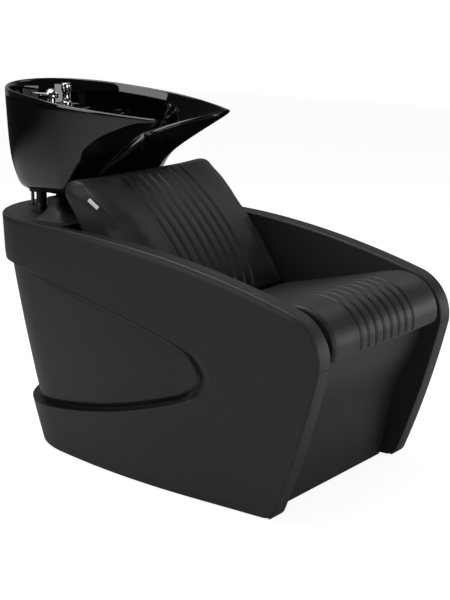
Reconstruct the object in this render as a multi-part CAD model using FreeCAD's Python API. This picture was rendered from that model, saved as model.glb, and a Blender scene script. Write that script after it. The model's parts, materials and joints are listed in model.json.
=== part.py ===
import FreeCAD, Part
import math
import os

# A salon backwash unit: a moulded body with two arms, a channel-sewn seat and back,
# and a glazed basin that tilts on a saddle at the rear.
# Stations are measured backwards from the nose of the arms, heights from the floor.

os.makedirs("parts", exist_ok=True)
Vector = FreeCAD.Vector

# Whole unit
WIDTH = 640.0
LENGTH = 1250.0
DECK_HEIGHT = 650.0
PIVOT_SETBACK = 290.0
PIVOT_STATION = LENGTH - PIVOT_SETBACK
PIVOT_RISE = 47.0
PIVOT_HEIGHT = DECK_HEIGHT + PIVOT_RISE
FLOOR_GAP = 3.0
FIT = 0.3
SEAM = 0.2

# Side profile of arm and leg
FOOT_STATION = 134.0
KNEE_STATION = 58.0
KNEE_HEIGHT = 203.0
NOSE_RADIUS = 124.0
NOSE_FALL = 232.0
NOSE_HEIGHT = DECK_HEIGHT - NOSE_FALL
NOSE_START_ANGLE = -5.5
NOSE_END_ANGLE = 70.7
ARM_MID_SETBACK = 775.0
ARM_MID_STATION = LENGTH - ARM_MID_SETBACK
ARM_MID_FALL = 28.0
ARM_MID_HEIGHT = DECK_HEIGHT - ARM_MID_FALL
DECK_START_SETBACK = 384.0
DECK_START = LENGTH - DECK_START_SETBACK

# Moulded walls
SHELL_WALL = 5.0
CAP = 8.0
ARM_WIDTH = 50.0
INNER_WALL = 4.0

# Plan of the body: straight sides, a slow taper and a round rear
REAR_RADIUS_INSET = 48.0
REAR_RADIUS = WIDTH / 2 - REAR_RADIUS_INSET
TAPER_ANGLE = 12.3
FLOOR_SETBACK = 144.0
RIDGE_SETBACK = 100.0
RIDGE_HEIGHT = 145.0
SHOULDER_SETBACK = 6.0
SHOULDER_FALL = 110.0
SHOULDER_HEIGHT = DECK_HEIGHT - SHOULDER_FALL

# Leaf-shaped recess round the sides and rear
LEAF_TOP_FALL = 128.0
LEAF_TOP = DECK_HEIGHT - LEAF_TOP_FALL
LEAF_TOP_SETBACK = 170.0
LEAF_TOP_STATION = LENGTH - LEAF_TOP_SETBACK
LEAF_TIP_SETBACK = 926.0
LEAF_TIP_STATION = LENGTH - LEAF_TIP_SETBACK
LEAF_BOTTOM = 118.0
LEAF_TIP_HEIGHT = LEAF_BOTTOM + 0.552 * (LEAF_TOP - LEAF_BOTTOM)
LEAF_BOTTOM_SETBACK = 205.0
LEAF_BOTTOM_STATION = LENGTH - LEAF_BOTTOM_SETBACK
LEAF_TOP_DEPTH = 3.0
LEAF_BOTTOM_DEPTH = 20.0
LEAF_REAR_DEPTH = 36.0

# Front panel
PANEL_WALL = 5.0
PANEL_TOP_STATION = 56.0
PANEL_TOP_HEIGHT = 397.0
PANEL_WAIST_STATION = 116.0
PANEL_WAIST_HEIGHT = 250.0
PANEL_FOOT_STATION = 178.0

# Seat cushion and its board
CUSHION_GAP = 6.0
SEAT_REAR_SETBACK = 753.0
SEAT_REAR = LENGTH - SEAT_REAR_SETBACK
SEAT_REAR_HEIGHT = 453.0
SEAT_TOP_STATION = 112.0
SEAT_TOP_HEIGHT = 541.0
SEAT_LIP_HEIGHT = 412.0
SEAT_UNDER_FRONT = 404.5
SEAT_UNDER_REAR = 345.5
SEAT_LIP_STATION = 30.0
BOARD = 15.0
SEWN_LINES = 8
SEWN_PITCH = 36.5
SEWN_DEPTH = 5.0
SIDE_DRAW = 14.0

# Back cushion and its board
BACK_FOOT_BEHIND = 4.0
BACK_FOOT_STATION = SEAT_REAR + BACK_FOOT_BEHIND
BACK_FOOT_FALL = 5.0
BACK_FOOT_HEIGHT = SEAT_REAR_HEIGHT - BACK_FOOT_FALL
BACK_TOP_SETBACK = 480.0
BACK_TOP_STATION = LENGTH - BACK_TOP_SETBACK
BACK_TOP_RISE = 118.0
BACK_TOP_HEIGHT = DECK_HEIGHT + BACK_TOP_RISE
BACK_BOW = 31.0
BACK_CREST_BEHIND = 38.0
BACK_CREST_STATION = BACK_TOP_STATION + BACK_CREST_BEHIND
BACK_CREST_RISE = 16.0
BACK_CREST_HEIGHT = BACK_TOP_HEIGHT + BACK_CREST_RISE
BACK_REAR_BEHIND = 68.0
BACK_REAR_STATION = BACK_TOP_STATION + BACK_REAR_BEHIND
BACK_REAR_FALL = 11.0
BACK_REAR_HEIGHT = BACK_TOP_HEIGHT - BACK_REAR_FALL
BACK_WAIST_BEHIND = 20.0
BACK_WAIST_STATION = BACK_TOP_STATION + BACK_WAIST_BEHIND
BACK_WAIST_FALL = 123.0
BACK_WAIST_HEIGHT = BACK_TOP_HEIGHT - BACK_WAIST_FALL
BACK_HEEL_BEHIND = 105.0
BACK_HEEL_STATION = BACK_FOOT_STATION + BACK_HEEL_BEHIND
BACK_HEEL_FALL = 46.0
BACK_HEEL_HEIGHT = BACK_FOOT_HEIGHT - BACK_HEEL_FALL

# Steel frame
TUBE = 30.0
TUBE_WALL = 2.0
RAIL_INSET = 80.0
RAIL_X = WIDTH / 2 - ARM_WIDTH - RAIL_INSET
PAD = 8.0
PAD_RADIUS = 18.0
FRONT_RAIL = 215.0
MID_RAIL_BEHIND = 78.0
MID_RAIL = SEAT_REAR + MID_RAIL_BEHIND
BACK_STRUT_AHEAD = 38.0
BACK_STRUT = BACK_WAIST_STATION - BACK_STRUT_AHEAD
SEAT_STRUT_REAR_AHEAD = 27.0
SEAT_STRUT_REAR = SEAT_REAR - SEAT_STRUT_REAR_AHEAD
ANCHOR_AHEAD = 45.0
ANCHOR_X = RAIL_X - ANCHOR_AHEAD
ANCHOR_FRONT_BEHIND = 110.0
ANCHOR_FRONT = FRONT_RAIL + ANCHOR_FRONT_BEHIND
ANCHOR_REAR_AHEAD = 135.0
ANCHOR_REAR = PIVOT_STATION - ANCHOR_REAR_AHEAD
ANCHOR_HOLE = 5.5
ANCHOR_PLATE = 6.0
POST = 60.0
POST_WALL = 3.0
POST_PLATE = 6.0

# Tilt hinge
PIN_RADIUS = 6.0
RUNNING = 0.05
EAR = 6.0
EAR_RADIUS = 11.0
CARRIER_EAR_X = 28.0
WASHER = 3.4
CARRIER_HALF = 54.0
CARRIER_LENGTH = 70.0
CARRIER_BOLT_X = 44.0
CARRIER_BOLT_PITCH = 50.0
BOLT_RADIUS = 4.0

# Saddle on the deck
SADDLE_TOP_RISE = 56.0
SADDLE_TOP = DECK_HEIGHT + SADDLE_TOP_RISE
SADDLE_HALF_TOP_INSET = 117.0
SADDLE_HALF_TOP = WIDTH / 2 - SADDLE_HALF_TOP_INSET
SADDLE_HALF_FOOT_INSET = 82.0
SADDLE_HALF_FOOT = WIDTH / 2 - SADDLE_HALF_FOOT_INSET
SADDLE_GAP = 58.0
SADDLE_FRONT_TOP = 26.0
SADDLE_FRONT_FOOT = 86.0
SADDLE_REAR_TOP = 20.0
SADDLE_REAR_FOOT = 44.0

# Basin
BASIN_BOTTOM_RISE = 18.0
BASIN_BOTTOM = PIVOT_HEIGHT + BASIN_BOTTOM_RISE
BASIN_HALF = 233.0
BASIN_REAR_SETBACK = 14.0
BASIN_REAR = LENGTH - BASIN_REAR_SETBACK
BASIN_ROUND = 215.0
BASIN_TAPER = 15.0
RIM_REAR_RISE = 288.0
RIM_REAR_HEIGHT = BASIN_BOTTOM + RIM_REAR_RISE
RIM_SLOPE = 0.105
TIP_X = 160.0
TIP_SETBACK = 626.0
TIP_STATION = LENGTH - TIP_SETBACK
TIP_BOW = 15.0
FRONT_BAY_BEHIND = 78.0
FRONT_BAY = TIP_STATION + FRONT_BAY_BEHIND
BASIN_WALL = 14.0
SKIRT_WALL = 10.0
FOOT_HALF = 200.0
FOOT_REAR_AHEAD = 21.0
FOOT_REAR = BASIN_REAR - FOOT_REAR_AHEAD
FOOT_ROUND = 190.0
FOOT_TAPER = 12.0
FOOT_CORNER_X = 125.0
FOOT_CORNER_AHEAD = 70.0
FOOT_CORNER = PIVOT_STATION - FOOT_CORNER_AHEAD
BROW_RISE = 95.0
BROW_HEIGHT = BASIN_BOTTOM + BROW_RISE
BROW_CORNER_X = 150.0
BROW_CORNER_AHEAD = 86.0
BROW_CORNER = FOOT_CORNER - BROW_CORNER_AHEAD
BROW_BAY_AHEAD = 57.0
BROW_BAY = FOOT_CORNER - BROW_BAY_AHEAD
BOWL_FLOOR_RISE = 42.0
BOWL_FLOOR = BASIN_BOTTOM + BOWL_FLOOR_RISE
BOWL_HALF = 150.0
BOWL_REAR_AHEAD = 131.0
BOWL_REAR = BASIN_REAR - BOWL_REAR_AHEAD
BOWL_ROUND = 145.0
BOWL_CORNER_X = 100.0
BOWL_FRONT_AHEAD = 2.0
BOWL_FRONT = FOOT_CORNER - BOWL_FRONT_AHEAD
BOWL_SKIN = 12.0
LEDGE_FRONT_AHEAD = 124.0
LEDGE_FRONT = BASIN_REAR - LEDGE_FRONT_AHEAD
LEDGE_FALL = 73.0
LEDGE_HEIGHT = RIM_REAR_HEIGHT - LEDGE_FALL
LEDGE_SKIN = 15.0
NOTCH_HALF = 185.0
NOTCH_TOP_FALL = 69.0
NOTCH_TOP = RIM_REAR_HEIGHT - NOTCH_TOP_FALL
NOTCH_BOTTOM_FALL = 125.0
NOTCH_BOTTOM = RIM_REAR_HEIGHT - NOTCH_BOTTOM_FALL
NOTCH_ROUND = 30.0

# Waste
WASTE_AHEAD = 46.0
WASTE_STATION = LEDGE_FRONT - WASTE_AHEAD
WASTE_HOLE = 23.0
WASTE_FLANGE = 33.0
WASTE_LIP = 3.0
STRAINER_RADIUS = 28.0
STRAINER_HOLE = 1.7
TRAP_DROP = 36.0
TRAP_HALF = 34.0
HOSE_X = -118.0
HOSE_BEHIND = 19.0
HOSE_STATION = WASTE_STATION + HOSE_BEHIND
HOSE_RADIUS = 17.0
HOSE_ROOT = 14.6
HOSE_BORE = 13.5
HOSE_BOTTOM_FALL = 90.0
HOSE_BOTTOM = DECK_HEIGHT - HOSE_BOTTOM_FALL
RIB_PITCH = 5.2
SPIGOT = 13.2
SPIGOT_LENGTH = 24.0
PIPE_KNEE = 70.0
PIPE_FALL = 1.3
PIPE_RADIUS = 20.0
PIPE_WALL = 3.0
PIPE_BOTTOM = 25.0

# Taps
MIXER_BEHIND = 38.0
MIXER_STATION = LEDGE_FRONT + MIXER_BEHIND
MIXER_STUD = 16.5
DOME_RADIUS = 22.0
DOME_WALL = 3.5
DOME_HEIGHT = 34.0
NECK_RADIUS = 13.0
NECK_DROP = 9.0
DRUM_RISE = 7.0
CROSS_PIN = 2.5
LEVER_LENGTH = 80.0
LEVER_RISE = 14.0
LEVER_RADIUS = 4.5
LEVER_BALL = 5.5
SHOWER_X = 58.0
SHOWER_BEHIND = 33.0
SHOWER_STATION = LEDGE_FRONT + SHOWER_BEHIND
SHOWER_RADIUS = 12.0
SHOWER_TOP_RISE = 69.0
SHOWER_TOP = LEDGE_HEIGHT + SHOWER_TOP_RISE
SOCKET_RADIUS = 15.5
SOCKET_LIP = 5.0
SHOWER_COLLAR = 9.0
SHOWER_HEAD = 22.0
TAIL_RADIUS = 7.0
TAIL_WALL = 1.5
TAIL_BOTTOM_FALL = 140.0
TAIL_BOTTOM = LEDGE_HEIGHT - TAIL_BOTTOM_FALL
SUPPLY_X = 52.0
SUPPLY_AHEAD = 50.0
SUPPLY_STATION = BASIN_REAR - SUPPLY_AHEAD
SUPPLY_RADIUS = 5.0
SUPPLY_NUT_BORE = 7.5
SUPPLY_NUT_LENGTH = 30.0
SUPPLY_THREAD = 12.0
SUPPLY_DROP = 32.0
SUPPLY_SWING = 105.0
SUPPLY_DECK_DROP = 60.0
SUPPLY_FALL = 330.0
SUPPLY_BOTTOM = 60.0
OVERFLOW_AHEAD = 186.0
OVERFLOW_STATION = BASIN_REAR - OVERFLOW_AHEAD
OVERFLOW_FALL = 98.0
OVERFLOW_HEIGHT = RIM_REAR_HEIGHT - OVERFLOW_FALL
OVERFLOW_RADIUS = 11.0

# Values that follow from the driving sizes
HALF = WIDTH / 2
INNER_X = HALF - ARM_WIDTH
BEYOND = LENGTH + 100.0
BELOW = -100.0
RAIL_TOP = PAD + TUBE
BOWL_UNDER = BOWL_FLOOR - BOWL_SKIN
CUSHION_HALF = INNER_X - CUSHION_GAP


def at(x, station, height):
    return Vector(x, station - LENGTH / 2, height)


def block(x0, x1, s0, s1, z0, z1):
    return Part.makeBox(x1 - x0, s1 - s0, z1 - z0, at(x0, s0, z0))


def rod(radius, start, end):
    along = end - start
    return Part.makeCylinder(radius, along.Length, start, along)


def ring(outer, inner, start, end):
    return rod(outer, start, end).cut(rod(inner, start, end))


def post(radius, x, station, z0, z1):
    return rod(radius, at(x, station, z0), at(x, station, z1))


def sleeve(outer, inner, x, station, z0, z1):
    return ring(outer, inner, at(x, station, z0), at(x, station, z1))


def hexagon(across, start, end):
    along = end - start
    corner = across / math.sqrt(3)
    turn = FreeCAD.Rotation(Vector(0, 0, 1), along)
    points = []
    for step in range(7):
        angle = math.radians(60 * step)
        flat = Vector(corner * math.cos(angle), corner * math.sin(angle), 0)
        points.append(start + turn.multVec(flat))
    return Part.Face(Part.makePolygon(points)).extrude(along)


def line(start, end):
    return Part.LineSegment(start, end).toShape()


def arc(start, middle, end):
    return Part.Arc(start, middle, end).toShape()


def joined(shapes):
    whole = shapes[0]
    for shape in shapes[1:]:
        whole = whole.fuse(shape)
    return whole.removeSplitter()


def across(wire, x0, x1):
    # A side-view outline, drawn at x = 0, made a slab from x0 to x1
    slab = Part.Face(wire).extrude(Vector(x1 - x0, 0, 0))
    slab.translate(Vector(x0, 0, 0))
    return slab


def polygon(points, x0, x1):
    corners = [at(0, s, z) for s, z in points]
    return across(Part.makePolygon(corners + corners[:1]), x0, x1)


def mirrored(shape):
    return shape.mirror(Vector(0, 0, 0), Vector(1, 0, 0))


def sided(shape, side):
    return shape if side > 0 else mirrored(shape)


def rounded_path(points, radius):
    # Straight runs joined by tangent arcs of one radius
    edges = []
    start = points[0]
    for before, corner, after in zip(points, points[1:], points[2:]):
        back = (before - corner).normalize()
        on = (after - corner).normalize()
        half_angle = back.getAngle(on) / 2
        reach = radius / math.tan(half_angle)
        centre = corner + (back + on).normalize() * (radius / math.sin(half_angle))
        enter = corner + back * reach
        leave = corner + on * reach
        middle = centre + (corner - centre).normalize() * radius
        edges.append(line(start, enter))
        edges.append(arc(enter, middle, leave))
        start = leave
    edges.append(line(start, points[-1]))
    return Part.Wire(edges)


def swept(path, radius):
    first = path.Edges[0]
    heading = first.tangentAt(first.FirstParameter)
    circle = Part.Wire(Part.Circle(first.Vertexes[0].Point, heading, radius).toShape())
    return path.makePipeShell([circle], True, False)


# Side profile


def nose_point(angle):
    turn = math.radians(angle)
    return at(0, NOSE_RADIUS * (1 - math.cos(turn)), NOSE_HEIGHT + NOSE_RADIUS * math.sin(turn))


def profile(inset):
    foot = at(0, FOOT_STATION, 0)
    knee = at(0, KNEE_STATION, KNEE_HEIGHT)
    seam = nose_point(NOSE_START_ANGLE)
    nose = nose_point((NOSE_START_ANGLE + NOSE_END_ANGLE) / 2)
    shoulder = nose_point(NOSE_END_ANGLE)
    arm_mid = at(0, ARM_MID_STATION, ARM_MID_HEIGHT)
    arm_end = at(0, DECK_START, DECK_HEIGHT)
    lean = (FOOT_STATION - KNEE_STATION) / KNEE_HEIGHT
    root = at(0, FOOT_STATION - BELOW * lean, BELOW)
    rear_top = at(0, BEYOND, DECK_HEIGHT)
    rear_low = at(0, BEYOND, BELOW)
    wire = Part.Wire([
        line(root, foot),
        arc(foot, knee, seam),
        arc(seam, nose, shoulder),
        arc(shoulder, arm_mid, arm_end),
        line(arm_end, rear_top),
        line(rear_top, rear_low),
        line(rear_low, root),
    ])
    return wire if inset == 0 else wire.makeOffset2D(-inset, 2)


SEAM_HEIGHT = nose_point(NOSE_START_ANGLE).z


# Plan outlines


def plan_arcs(half, rear, radius, taper, inset, height_at):
    # The left half's points, front to rear: taper start, middle and end, then the rear
    turn = math.radians(taper)
    centre = rear - radius
    taper_radius = (half - radius * math.cos(turn)) / (1 - math.cos(turn))
    start = centre + (radius - taper_radius) * math.sin(turn)

    def taper_point(angle):
        x = half - taper_radius + (taper_radius - inset) * math.cos(angle)
        station = start + (taper_radius - inset) * math.sin(angle)
        return x, station

    marks = [taper_point(0), taper_point(turn / 2), taper_point(turn), (0, rear - inset)]
    return [(x, s, height_at(s)) for x, s in marks]


def body_plan(height, half, rear, radius, inset):
    p0, p1, p2, p3 = plan_arcs(half, rear, radius, TAPER_ANGLE, inset, lambda s: height)
    front = -2 * ARM_WIDTH
    right = [at(*p) for p in (p0, p1, p2)]
    left = [at(-x, s, z) for x, s, z in (p0, p1, p2)]
    return Part.Wire([
        line(at(p0[0], front, height), right[0]),
        arc(right[0], right[1], right[2]),
        arc(right[2], at(*p3), left[2]),
        arc(left[2], left[1], left[0]),
        line(left[0], at(-p0[0], front, height)),
        line(at(-p0[0], front, height), at(p0[0], front, height)),
    ])


def body(inset):
    spare = 2 * inset
    levels = [
        (-spare, FLOOR_SETBACK),
        (RIDGE_HEIGHT, RIDGE_SETBACK),
        (SHOULDER_HEIGHT, SHOULDER_SETBACK),
        (DECK_HEIGHT + spare, 0.0),
    ]
    wires = []
    for height, setback in levels:
        wires.append(body_plan(height, HALF, LENGTH - setback, REAR_RADIUS, inset))
    return Part.makeLoft(wires, True, True)


def leaf_wire():
    above = LEAF_TOP - LEAF_TIP_HEIGHT
    below = LEAF_TIP_HEIGHT - LEAF_BOTTOM
    top_run = LEAF_TOP_STATION - LEAF_TIP_STATION
    low_run = LEAF_BOTTOM_STATION - LEAF_TIP_STATION
    top_rear = at(0, BEYOND, LEAF_TOP)
    top = at(0, LEAF_TOP_STATION, LEAF_TOP)
    slope = at(0, LEAF_TIP_STATION + 0.5 * top_run, LEAF_TOP - 0.287 * above)
    brow = at(0, LEAF_TIP_STATION + 0.1 * top_run, LEAF_TIP_HEIGHT + 0.287 * above)
    cheek = at(0, LEAF_TIP_STATION + 0.029 * top_run, LEAF_TIP_HEIGHT + 0.155 * above)
    tip = at(0, LEAF_TIP_STATION, LEAF_TIP_HEIGHT)
    jaw = at(0, LEAF_TIP_STATION + 0.011 * low_run, LEAF_TIP_HEIGHT - 0.184 * below)
    chin = at(0, LEAF_TIP_STATION + 0.101 * low_run, LEAF_TIP_HEIGHT - 0.359 * below)
    belly = at(0, LEAF_TIP_STATION + 0.456 * low_run, LEAF_BOTTOM + 0.283 * below)
    low = at(0, LEAF_BOTTOM_STATION, LEAF_BOTTOM)
    low_rear = at(0, BEYOND, LEAF_BOTTOM)
    return Part.Wire([
        line(top_rear, top),
        arc(top, slope, brow),
        arc(brow, cheek, tip),
        arc(tip, jaw, chin),
        arc(chin, belly, low),
        line(low, low_rear),
        line(low_rear, top_rear),
    ])


def leaf_core(inset):
    # What the recess leaves standing: narrower and shorter towards its lower edge
    low_half = HALF - LEAF_BOTTOM_DEPTH
    top_half = HALF - LEAF_TOP_DEPTH
    low_rear = LENGTH - RIDGE_SETBACK - LEAF_REAR_DEPTH
    top_rear = LENGTH - SHOULDER_SETBACK - LEAF_REAR_DEPTH
    radius = REAR_RADIUS - LEAF_BOTTOM_DEPTH
    spare = 6 * SHELL_WALL
    return Part.makeLoft([
        body_plan(LEAF_BOTTOM - spare, low_half, low_rear, radius, inset),
        body_plan(LEAF_BOTTOM, low_half, low_rear, radius, inset),
        body_plan(LEAF_TOP, top_half, top_rear, radius, inset),
        body_plan(LEAF_TOP + spare, top_half, top_rear, radius, inset),
    ], True, True)


def hollow(depth):
    # The space inside the moulded body, a given depth below its outside
    leaf = across(leaf_wire().makeOffset2D(depth, 2), -WIDTH, WIDTH)
    return body(depth).cut(leaf.cut(leaf_core(depth)))


def make_outer_shell():
    leaf = across(leaf_wire(), -WIDTH, WIDTH).cut(leaf_core(0))
    skin = body(0).cut(leaf).cut(hollow(SHELL_WALL))
    skin = skin.common(across(profile(CAP + SEAM), -WIDTH, WIDTH))
    return skin.common(block(-WIDTH, WIDTH, -ARM_WIDTH, BEYOND, FLOOR_GAP, DECK_HEIGHT))


def make_arm_trim(side):
    top_band = across(profile(0), INNER_X, HALF).cut(across(profile(CAP), INNER_X, HALF))
    top_band = top_band.common(body(0))
    keep = block(0, WIDTH, -ARM_WIDTH, DECK_START - SEAM, SEAM_HEIGHT + SEAM, DECK_HEIGHT + CAP)
    cap = top_band.common(keep)
    face_x = INNER_X + INNER_WALL
    high = across(profile(CAP / 2), INNER_X, face_x).common(keep)
    low = across(profile(CAP + SEAM), INNER_X, face_x)
    low = low.common(block(0, WIDTH, -ARM_WIDTH, DECK_START - SEAM, FLOOR_GAP, SEAM_HEIGHT + SEAM))
    sheet = high.fuse(low).common(hollow(SHELL_WALL + FIT))
    return sided(joined([cap, sheet]), side)


def make_leg_trim(side):
    band = across(profile(0), INNER_X, HALF).cut(across(profile(CAP), INNER_X, HALF))
    keep = block(0, WIDTH, -ARM_WIDTH, MID_RAIL, FLOOR_GAP, SEAM_HEIGHT)
    return sided(band.common(keep), side)


def make_front_panel():
    wall = PANEL_WALL
    line_out = [
        (PANEL_TOP_STATION, PANEL_TOP_HEIGHT),
        (PANEL_WAIST_STATION, PANEL_WAIST_HEIGHT),
        (PANEL_FOOT_STATION, FLOOR_GAP),
    ]
    line_back = [(s + wall, z) for s, z in reversed(line_out)]
    half = INNER_X - FIT
    return polygon(line_out + line_back, -half, half)


# Rear deck with the saddle


def saddle_section(share, height, inset):
    def between(top, foot):
        return foot + (top - foot) * share

    x0 = SADDLE_GAP + inset
    x1 = between(SADDLE_HALF_TOP, SADDLE_HALF_FOOT) - inset
    s0 = PIVOT_STATION - between(SADDLE_FRONT_TOP, SADDLE_FRONT_FOOT) + inset
    s1 = PIVOT_STATION + between(SADDLE_REAR_TOP, SADDLE_REAR_FOOT) - inset
    corners = [at(x, s, height) for x, s in ((x0, s0), (x1, s0), (x1, s1), (x0, s1))]
    return Part.makePolygon(corners + corners[:1])


def saddle_cheek(inset, drop):
    # A flare that is quick near the deck and slow near the top
    rise = SADDLE_TOP - DECK_HEIGHT
    sections = []
    for climb, share in ((0.0, 0.0), (0.2, 0.5), (0.5, 0.8), (1.0, 1.0)):
        sections.append(saddle_section(share, DECK_HEIGHT + climb * rise - drop, inset))
    return Part.makeLoft(sections, True, True)


def make_rear_deck():
    low = DECK_HEIGHT - CAP
    plate = body(0).common(block(-WIDTH, WIDTH, DECK_START, BEYOND, low, DECK_HEIGHT))
    whole = plate
    for side in (1, -1):
        whole = whole.fuse(sided(saddle_cheek(0, 0), side))
    for side in (1, -1):
        whole = whole.cut(sided(saddle_cheek(SHELL_WALL, CAP), side))
    slot_half = POST / 2 + CAP
    slot_front = PIVOT_STATION - slot_half
    slot_rear = PIVOT_STATION + slot_half
    whole = whole.cut(block(-slot_half, slot_half, slot_front, slot_rear, low - CAP, DECK_HEIGHT + CAP))
    for x in (SUPPLY_X, -SUPPLY_X):
        whole = whole.cut(post(2 * SUPPLY_RADIUS, x, SUPPLY_STATION, low - CAP, DECK_HEIGHT + CAP))
    drain = post(HOSE_RADIUS + CAP, HOSE_X, HOSE_STATION, low - CAP, DECK_HEIGHT + CAP)
    return whole.cut(drain).removeSplitter()


def make_collar(x, station, bore, hole):
    # A rubber collar that lines a hole in the deck and laps over it
    low = DECK_HEIGHT - CAP
    lip = 2.0
    seat = DECK_HEIGHT + SEAM
    lining = sleeve(hole - SEAM, bore, x, station, low, seat)
    top = sleeve(hole + 2 * lip, bore, x, station, seat, seat + lip)
    return joined([lining, top])


# Seat and back


def seat_section(x, rise):
    top_rear = at(x, SEAT_REAR, SEAT_REAR_HEIGHT + rise)
    top_front = at(x, SEAT_TOP_STATION, SEAT_TOP_HEIGHT + rise)
    reach = SEAT_TOP_STATION
    drop = SEAT_TOP_HEIGHT - SEAT_LIP_HEIGHT
    bow = at(x, 0.27 * reach - 0.7 * rise, SEAT_TOP_HEIGHT - 0.2 * drop + 0.7 * rise)
    brow = at(x, 2.0 - rise, SEAT_TOP_HEIGHT - 0.7 * drop)
    lip = at(x, 4.0 - rise, SEAT_LIP_HEIGHT)
    under_front = at(x, SEAT_LIP_STATION, SEAT_UNDER_FRONT)
    under_rear = at(x, SEAT_REAR, SEAT_UNDER_REAR)
    return Part.Wire([
        line(top_rear, top_front),
        arc(top_front, bow, brow),
        line(brow, lip),
        line(lip, under_front),
        line(under_front, under_rear),
        line(under_rear, top_rear),
    ])


def back_section(x, rise):
    face = at(0, BACK_TOP_STATION, BACK_TOP_HEIGHT) - at(0, BACK_FOOT_STATION, BACK_FOOT_HEIGHT)
    ahead = Vector(0, -face.z, face.y).normalize()
    foot = at(x, BACK_FOOT_STATION, BACK_FOOT_HEIGHT) + ahead * rise
    top = at(x, BACK_TOP_STATION, BACK_TOP_HEIGHT) + ahead * rise
    bow = (foot + top) * 0.5 + ahead * BACK_BOW
    crest = at(x, BACK_CREST_STATION, BACK_CREST_HEIGHT + 0.6 * rise)
    rear = at(x, BACK_REAR_STATION, BACK_REAR_HEIGHT)
    waist = at(x, BACK_WAIST_STATION, BACK_WAIST_HEIGHT)
    heel = at(x, BACK_HEEL_STATION, BACK_HEEL_HEIGHT)
    return Part.Wire([
        arc(foot, bow, top),
        arc(top, crest, rear),
        line(rear, waist),
        line(waist, heel),
        line(heel, foot),
    ])


def channel_stations():
    # Each station across the cushion with how far its face stands back
    first = -SEWN_PITCH * (SEWN_LINES - 1) / 2
    marks = [(-CUSHION_HALF, -SIDE_DRAW), (-CUSHION_HALF + 2 * SIDE_DRAW, -0.25 * SIDE_DRAW)]
    marks.append((first - SEWN_PITCH / 2, 0.0))
    for step in range(SEWN_LINES):
        x = first + step * SEWN_PITCH
        marks.append((x, -SEWN_DEPTH))
        marks.append((x + SEWN_PITCH / 2, 0.0))
    marks.append((CUSHION_HALF - 2 * SIDE_DRAW, -0.25 * SIDE_DRAW))
    marks.append((CUSHION_HALF, -SIDE_DRAW))
    return marks


def make_cushion(section):
    return Part.makeLoft([section(x, rise) for x, rise in channel_stations()], True, True)


def board_height(station):
    share = (station - SEAT_LIP_STATION) / (SEAT_REAR - SEAT_LIP_STATION)
    return SEAT_UNDER_FRONT + (SEAT_UNDER_REAR - SEAT_UNDER_FRONT) * share - FIT


def slanted(s0, s1, drop, depth, x0, x1):
    # A bar along the underside of the seat cushion
    top0 = board_height(s0) - drop
    top1 = board_height(s1) - drop
    return polygon([(s0, top0), (s1, top1), (s1, top1 - depth), (s0, top0 - depth)], x0, x1)


def back_line(station, off):
    # Height of the line behind the back cushion, moved square to itself
    rise = BACK_WAIST_HEIGHT - BACK_HEEL_HEIGHT
    run = BACK_WAIST_STATION - BACK_HEEL_STATION
    return BACK_HEEL_HEIGHT + (station - BACK_HEEL_STATION) * rise / run - off * math.hypot(rise, run) / run


def back_bar(s0, s1, off, depth, x0, x1):
    rise = BACK_WAIST_HEIGHT - BACK_HEEL_HEIGHT
    run = BACK_WAIST_STATION - BACK_HEEL_STATION
    across_bar = Vector(0, rise, -run).normalize() * depth
    low = at(0, s0, back_line(s0, off))
    high = at(0, s1, back_line(s1, off))
    corners = [low, high, high + across_bar, low + across_bar]
    return across(Part.makePolygon(corners + corners[:1]), x0, x1)


def make_seat_board():
    half = CUSHION_HALF - CUSHION_GAP
    return slanted(PANEL_TOP_STATION + 3 * PANEL_WALL, SEAT_REAR, 0, BOARD, -half, half)


def make_back_board():
    half = CUSHION_HALF - CUSHION_GAP
    return back_bar(BACK_HEEL_STATION, BACK_WAIST_STATION, FIT, BOARD, -half, half)


# Steel frame


def upright(x, station, z0, z1):
    half = TUBE / 2
    inner = half - TUBE_WALL
    solid = block(x - half, x + half, station - half, station + half, z0, z1)
    return solid.cut(block(x - inner, x + inner, station - inner, station + inner, z0, z1))


def cross_tube(half_length, station, z0):
    half = TUBE / 2
    wall = TUBE_WALL
    inner = half - wall
    solid = block(-half_length, half_length, station - half, station + half, z0, z0 + TUBE)
    bore = block(-half_length, half_length, station - inner, station + inner, z0 + wall, z0 + TUBE - wall)
    return solid.cut(bore)


def make_base_frame():
    half = TUBE / 2
    wall = TUBE_WALL
    pieces = []
    for side in (1, -1):
        x = side * RAIL_X
        s0 = FRONT_RAIL - half
        s1 = PIVOT_STATION + half
        rail = block(x - half, x + half, s0, s1, PAD, RAIL_TOP)
        rail = rail.cut(block(x - half + wall, x + half - wall, s0, s1, PAD + wall, RAIL_TOP - wall))
        pieces.append(rail)
        for station in (ANCHOR_FRONT, ANCHOR_REAR):
            inner = side * ANCHOR_X
            outer = side * (RAIL_X - half)
            x0, x1 = sorted((2 * inner - outer, outer))
            plate = block(x0, x1, station - TUBE, station + TUBE, PAD, PAD + ANCHOR_PLATE)
            hole = rod(ANCHOR_HOLE, at(inner, station, 0), at(inner, station, RAIL_TOP))
            pieces.append(plate.cut(hole))
    for station in (FRONT_RAIL, MID_RAIL, PIVOT_STATION):
        pieces.append(cross_tube(RAIL_X - half, station, PAD))
    return joined(pieces)


def make_floor_pads():
    pads = []
    for side in (1, -1):
        for station in (FRONT_RAIL, MID_RAIL, PIVOT_STATION):
            x = side * RAIL_X
            pads.append(rod(PAD_RADIUS, at(x, station, 0), at(x, station, PAD)))
    return Part.makeCompound(pads)


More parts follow.
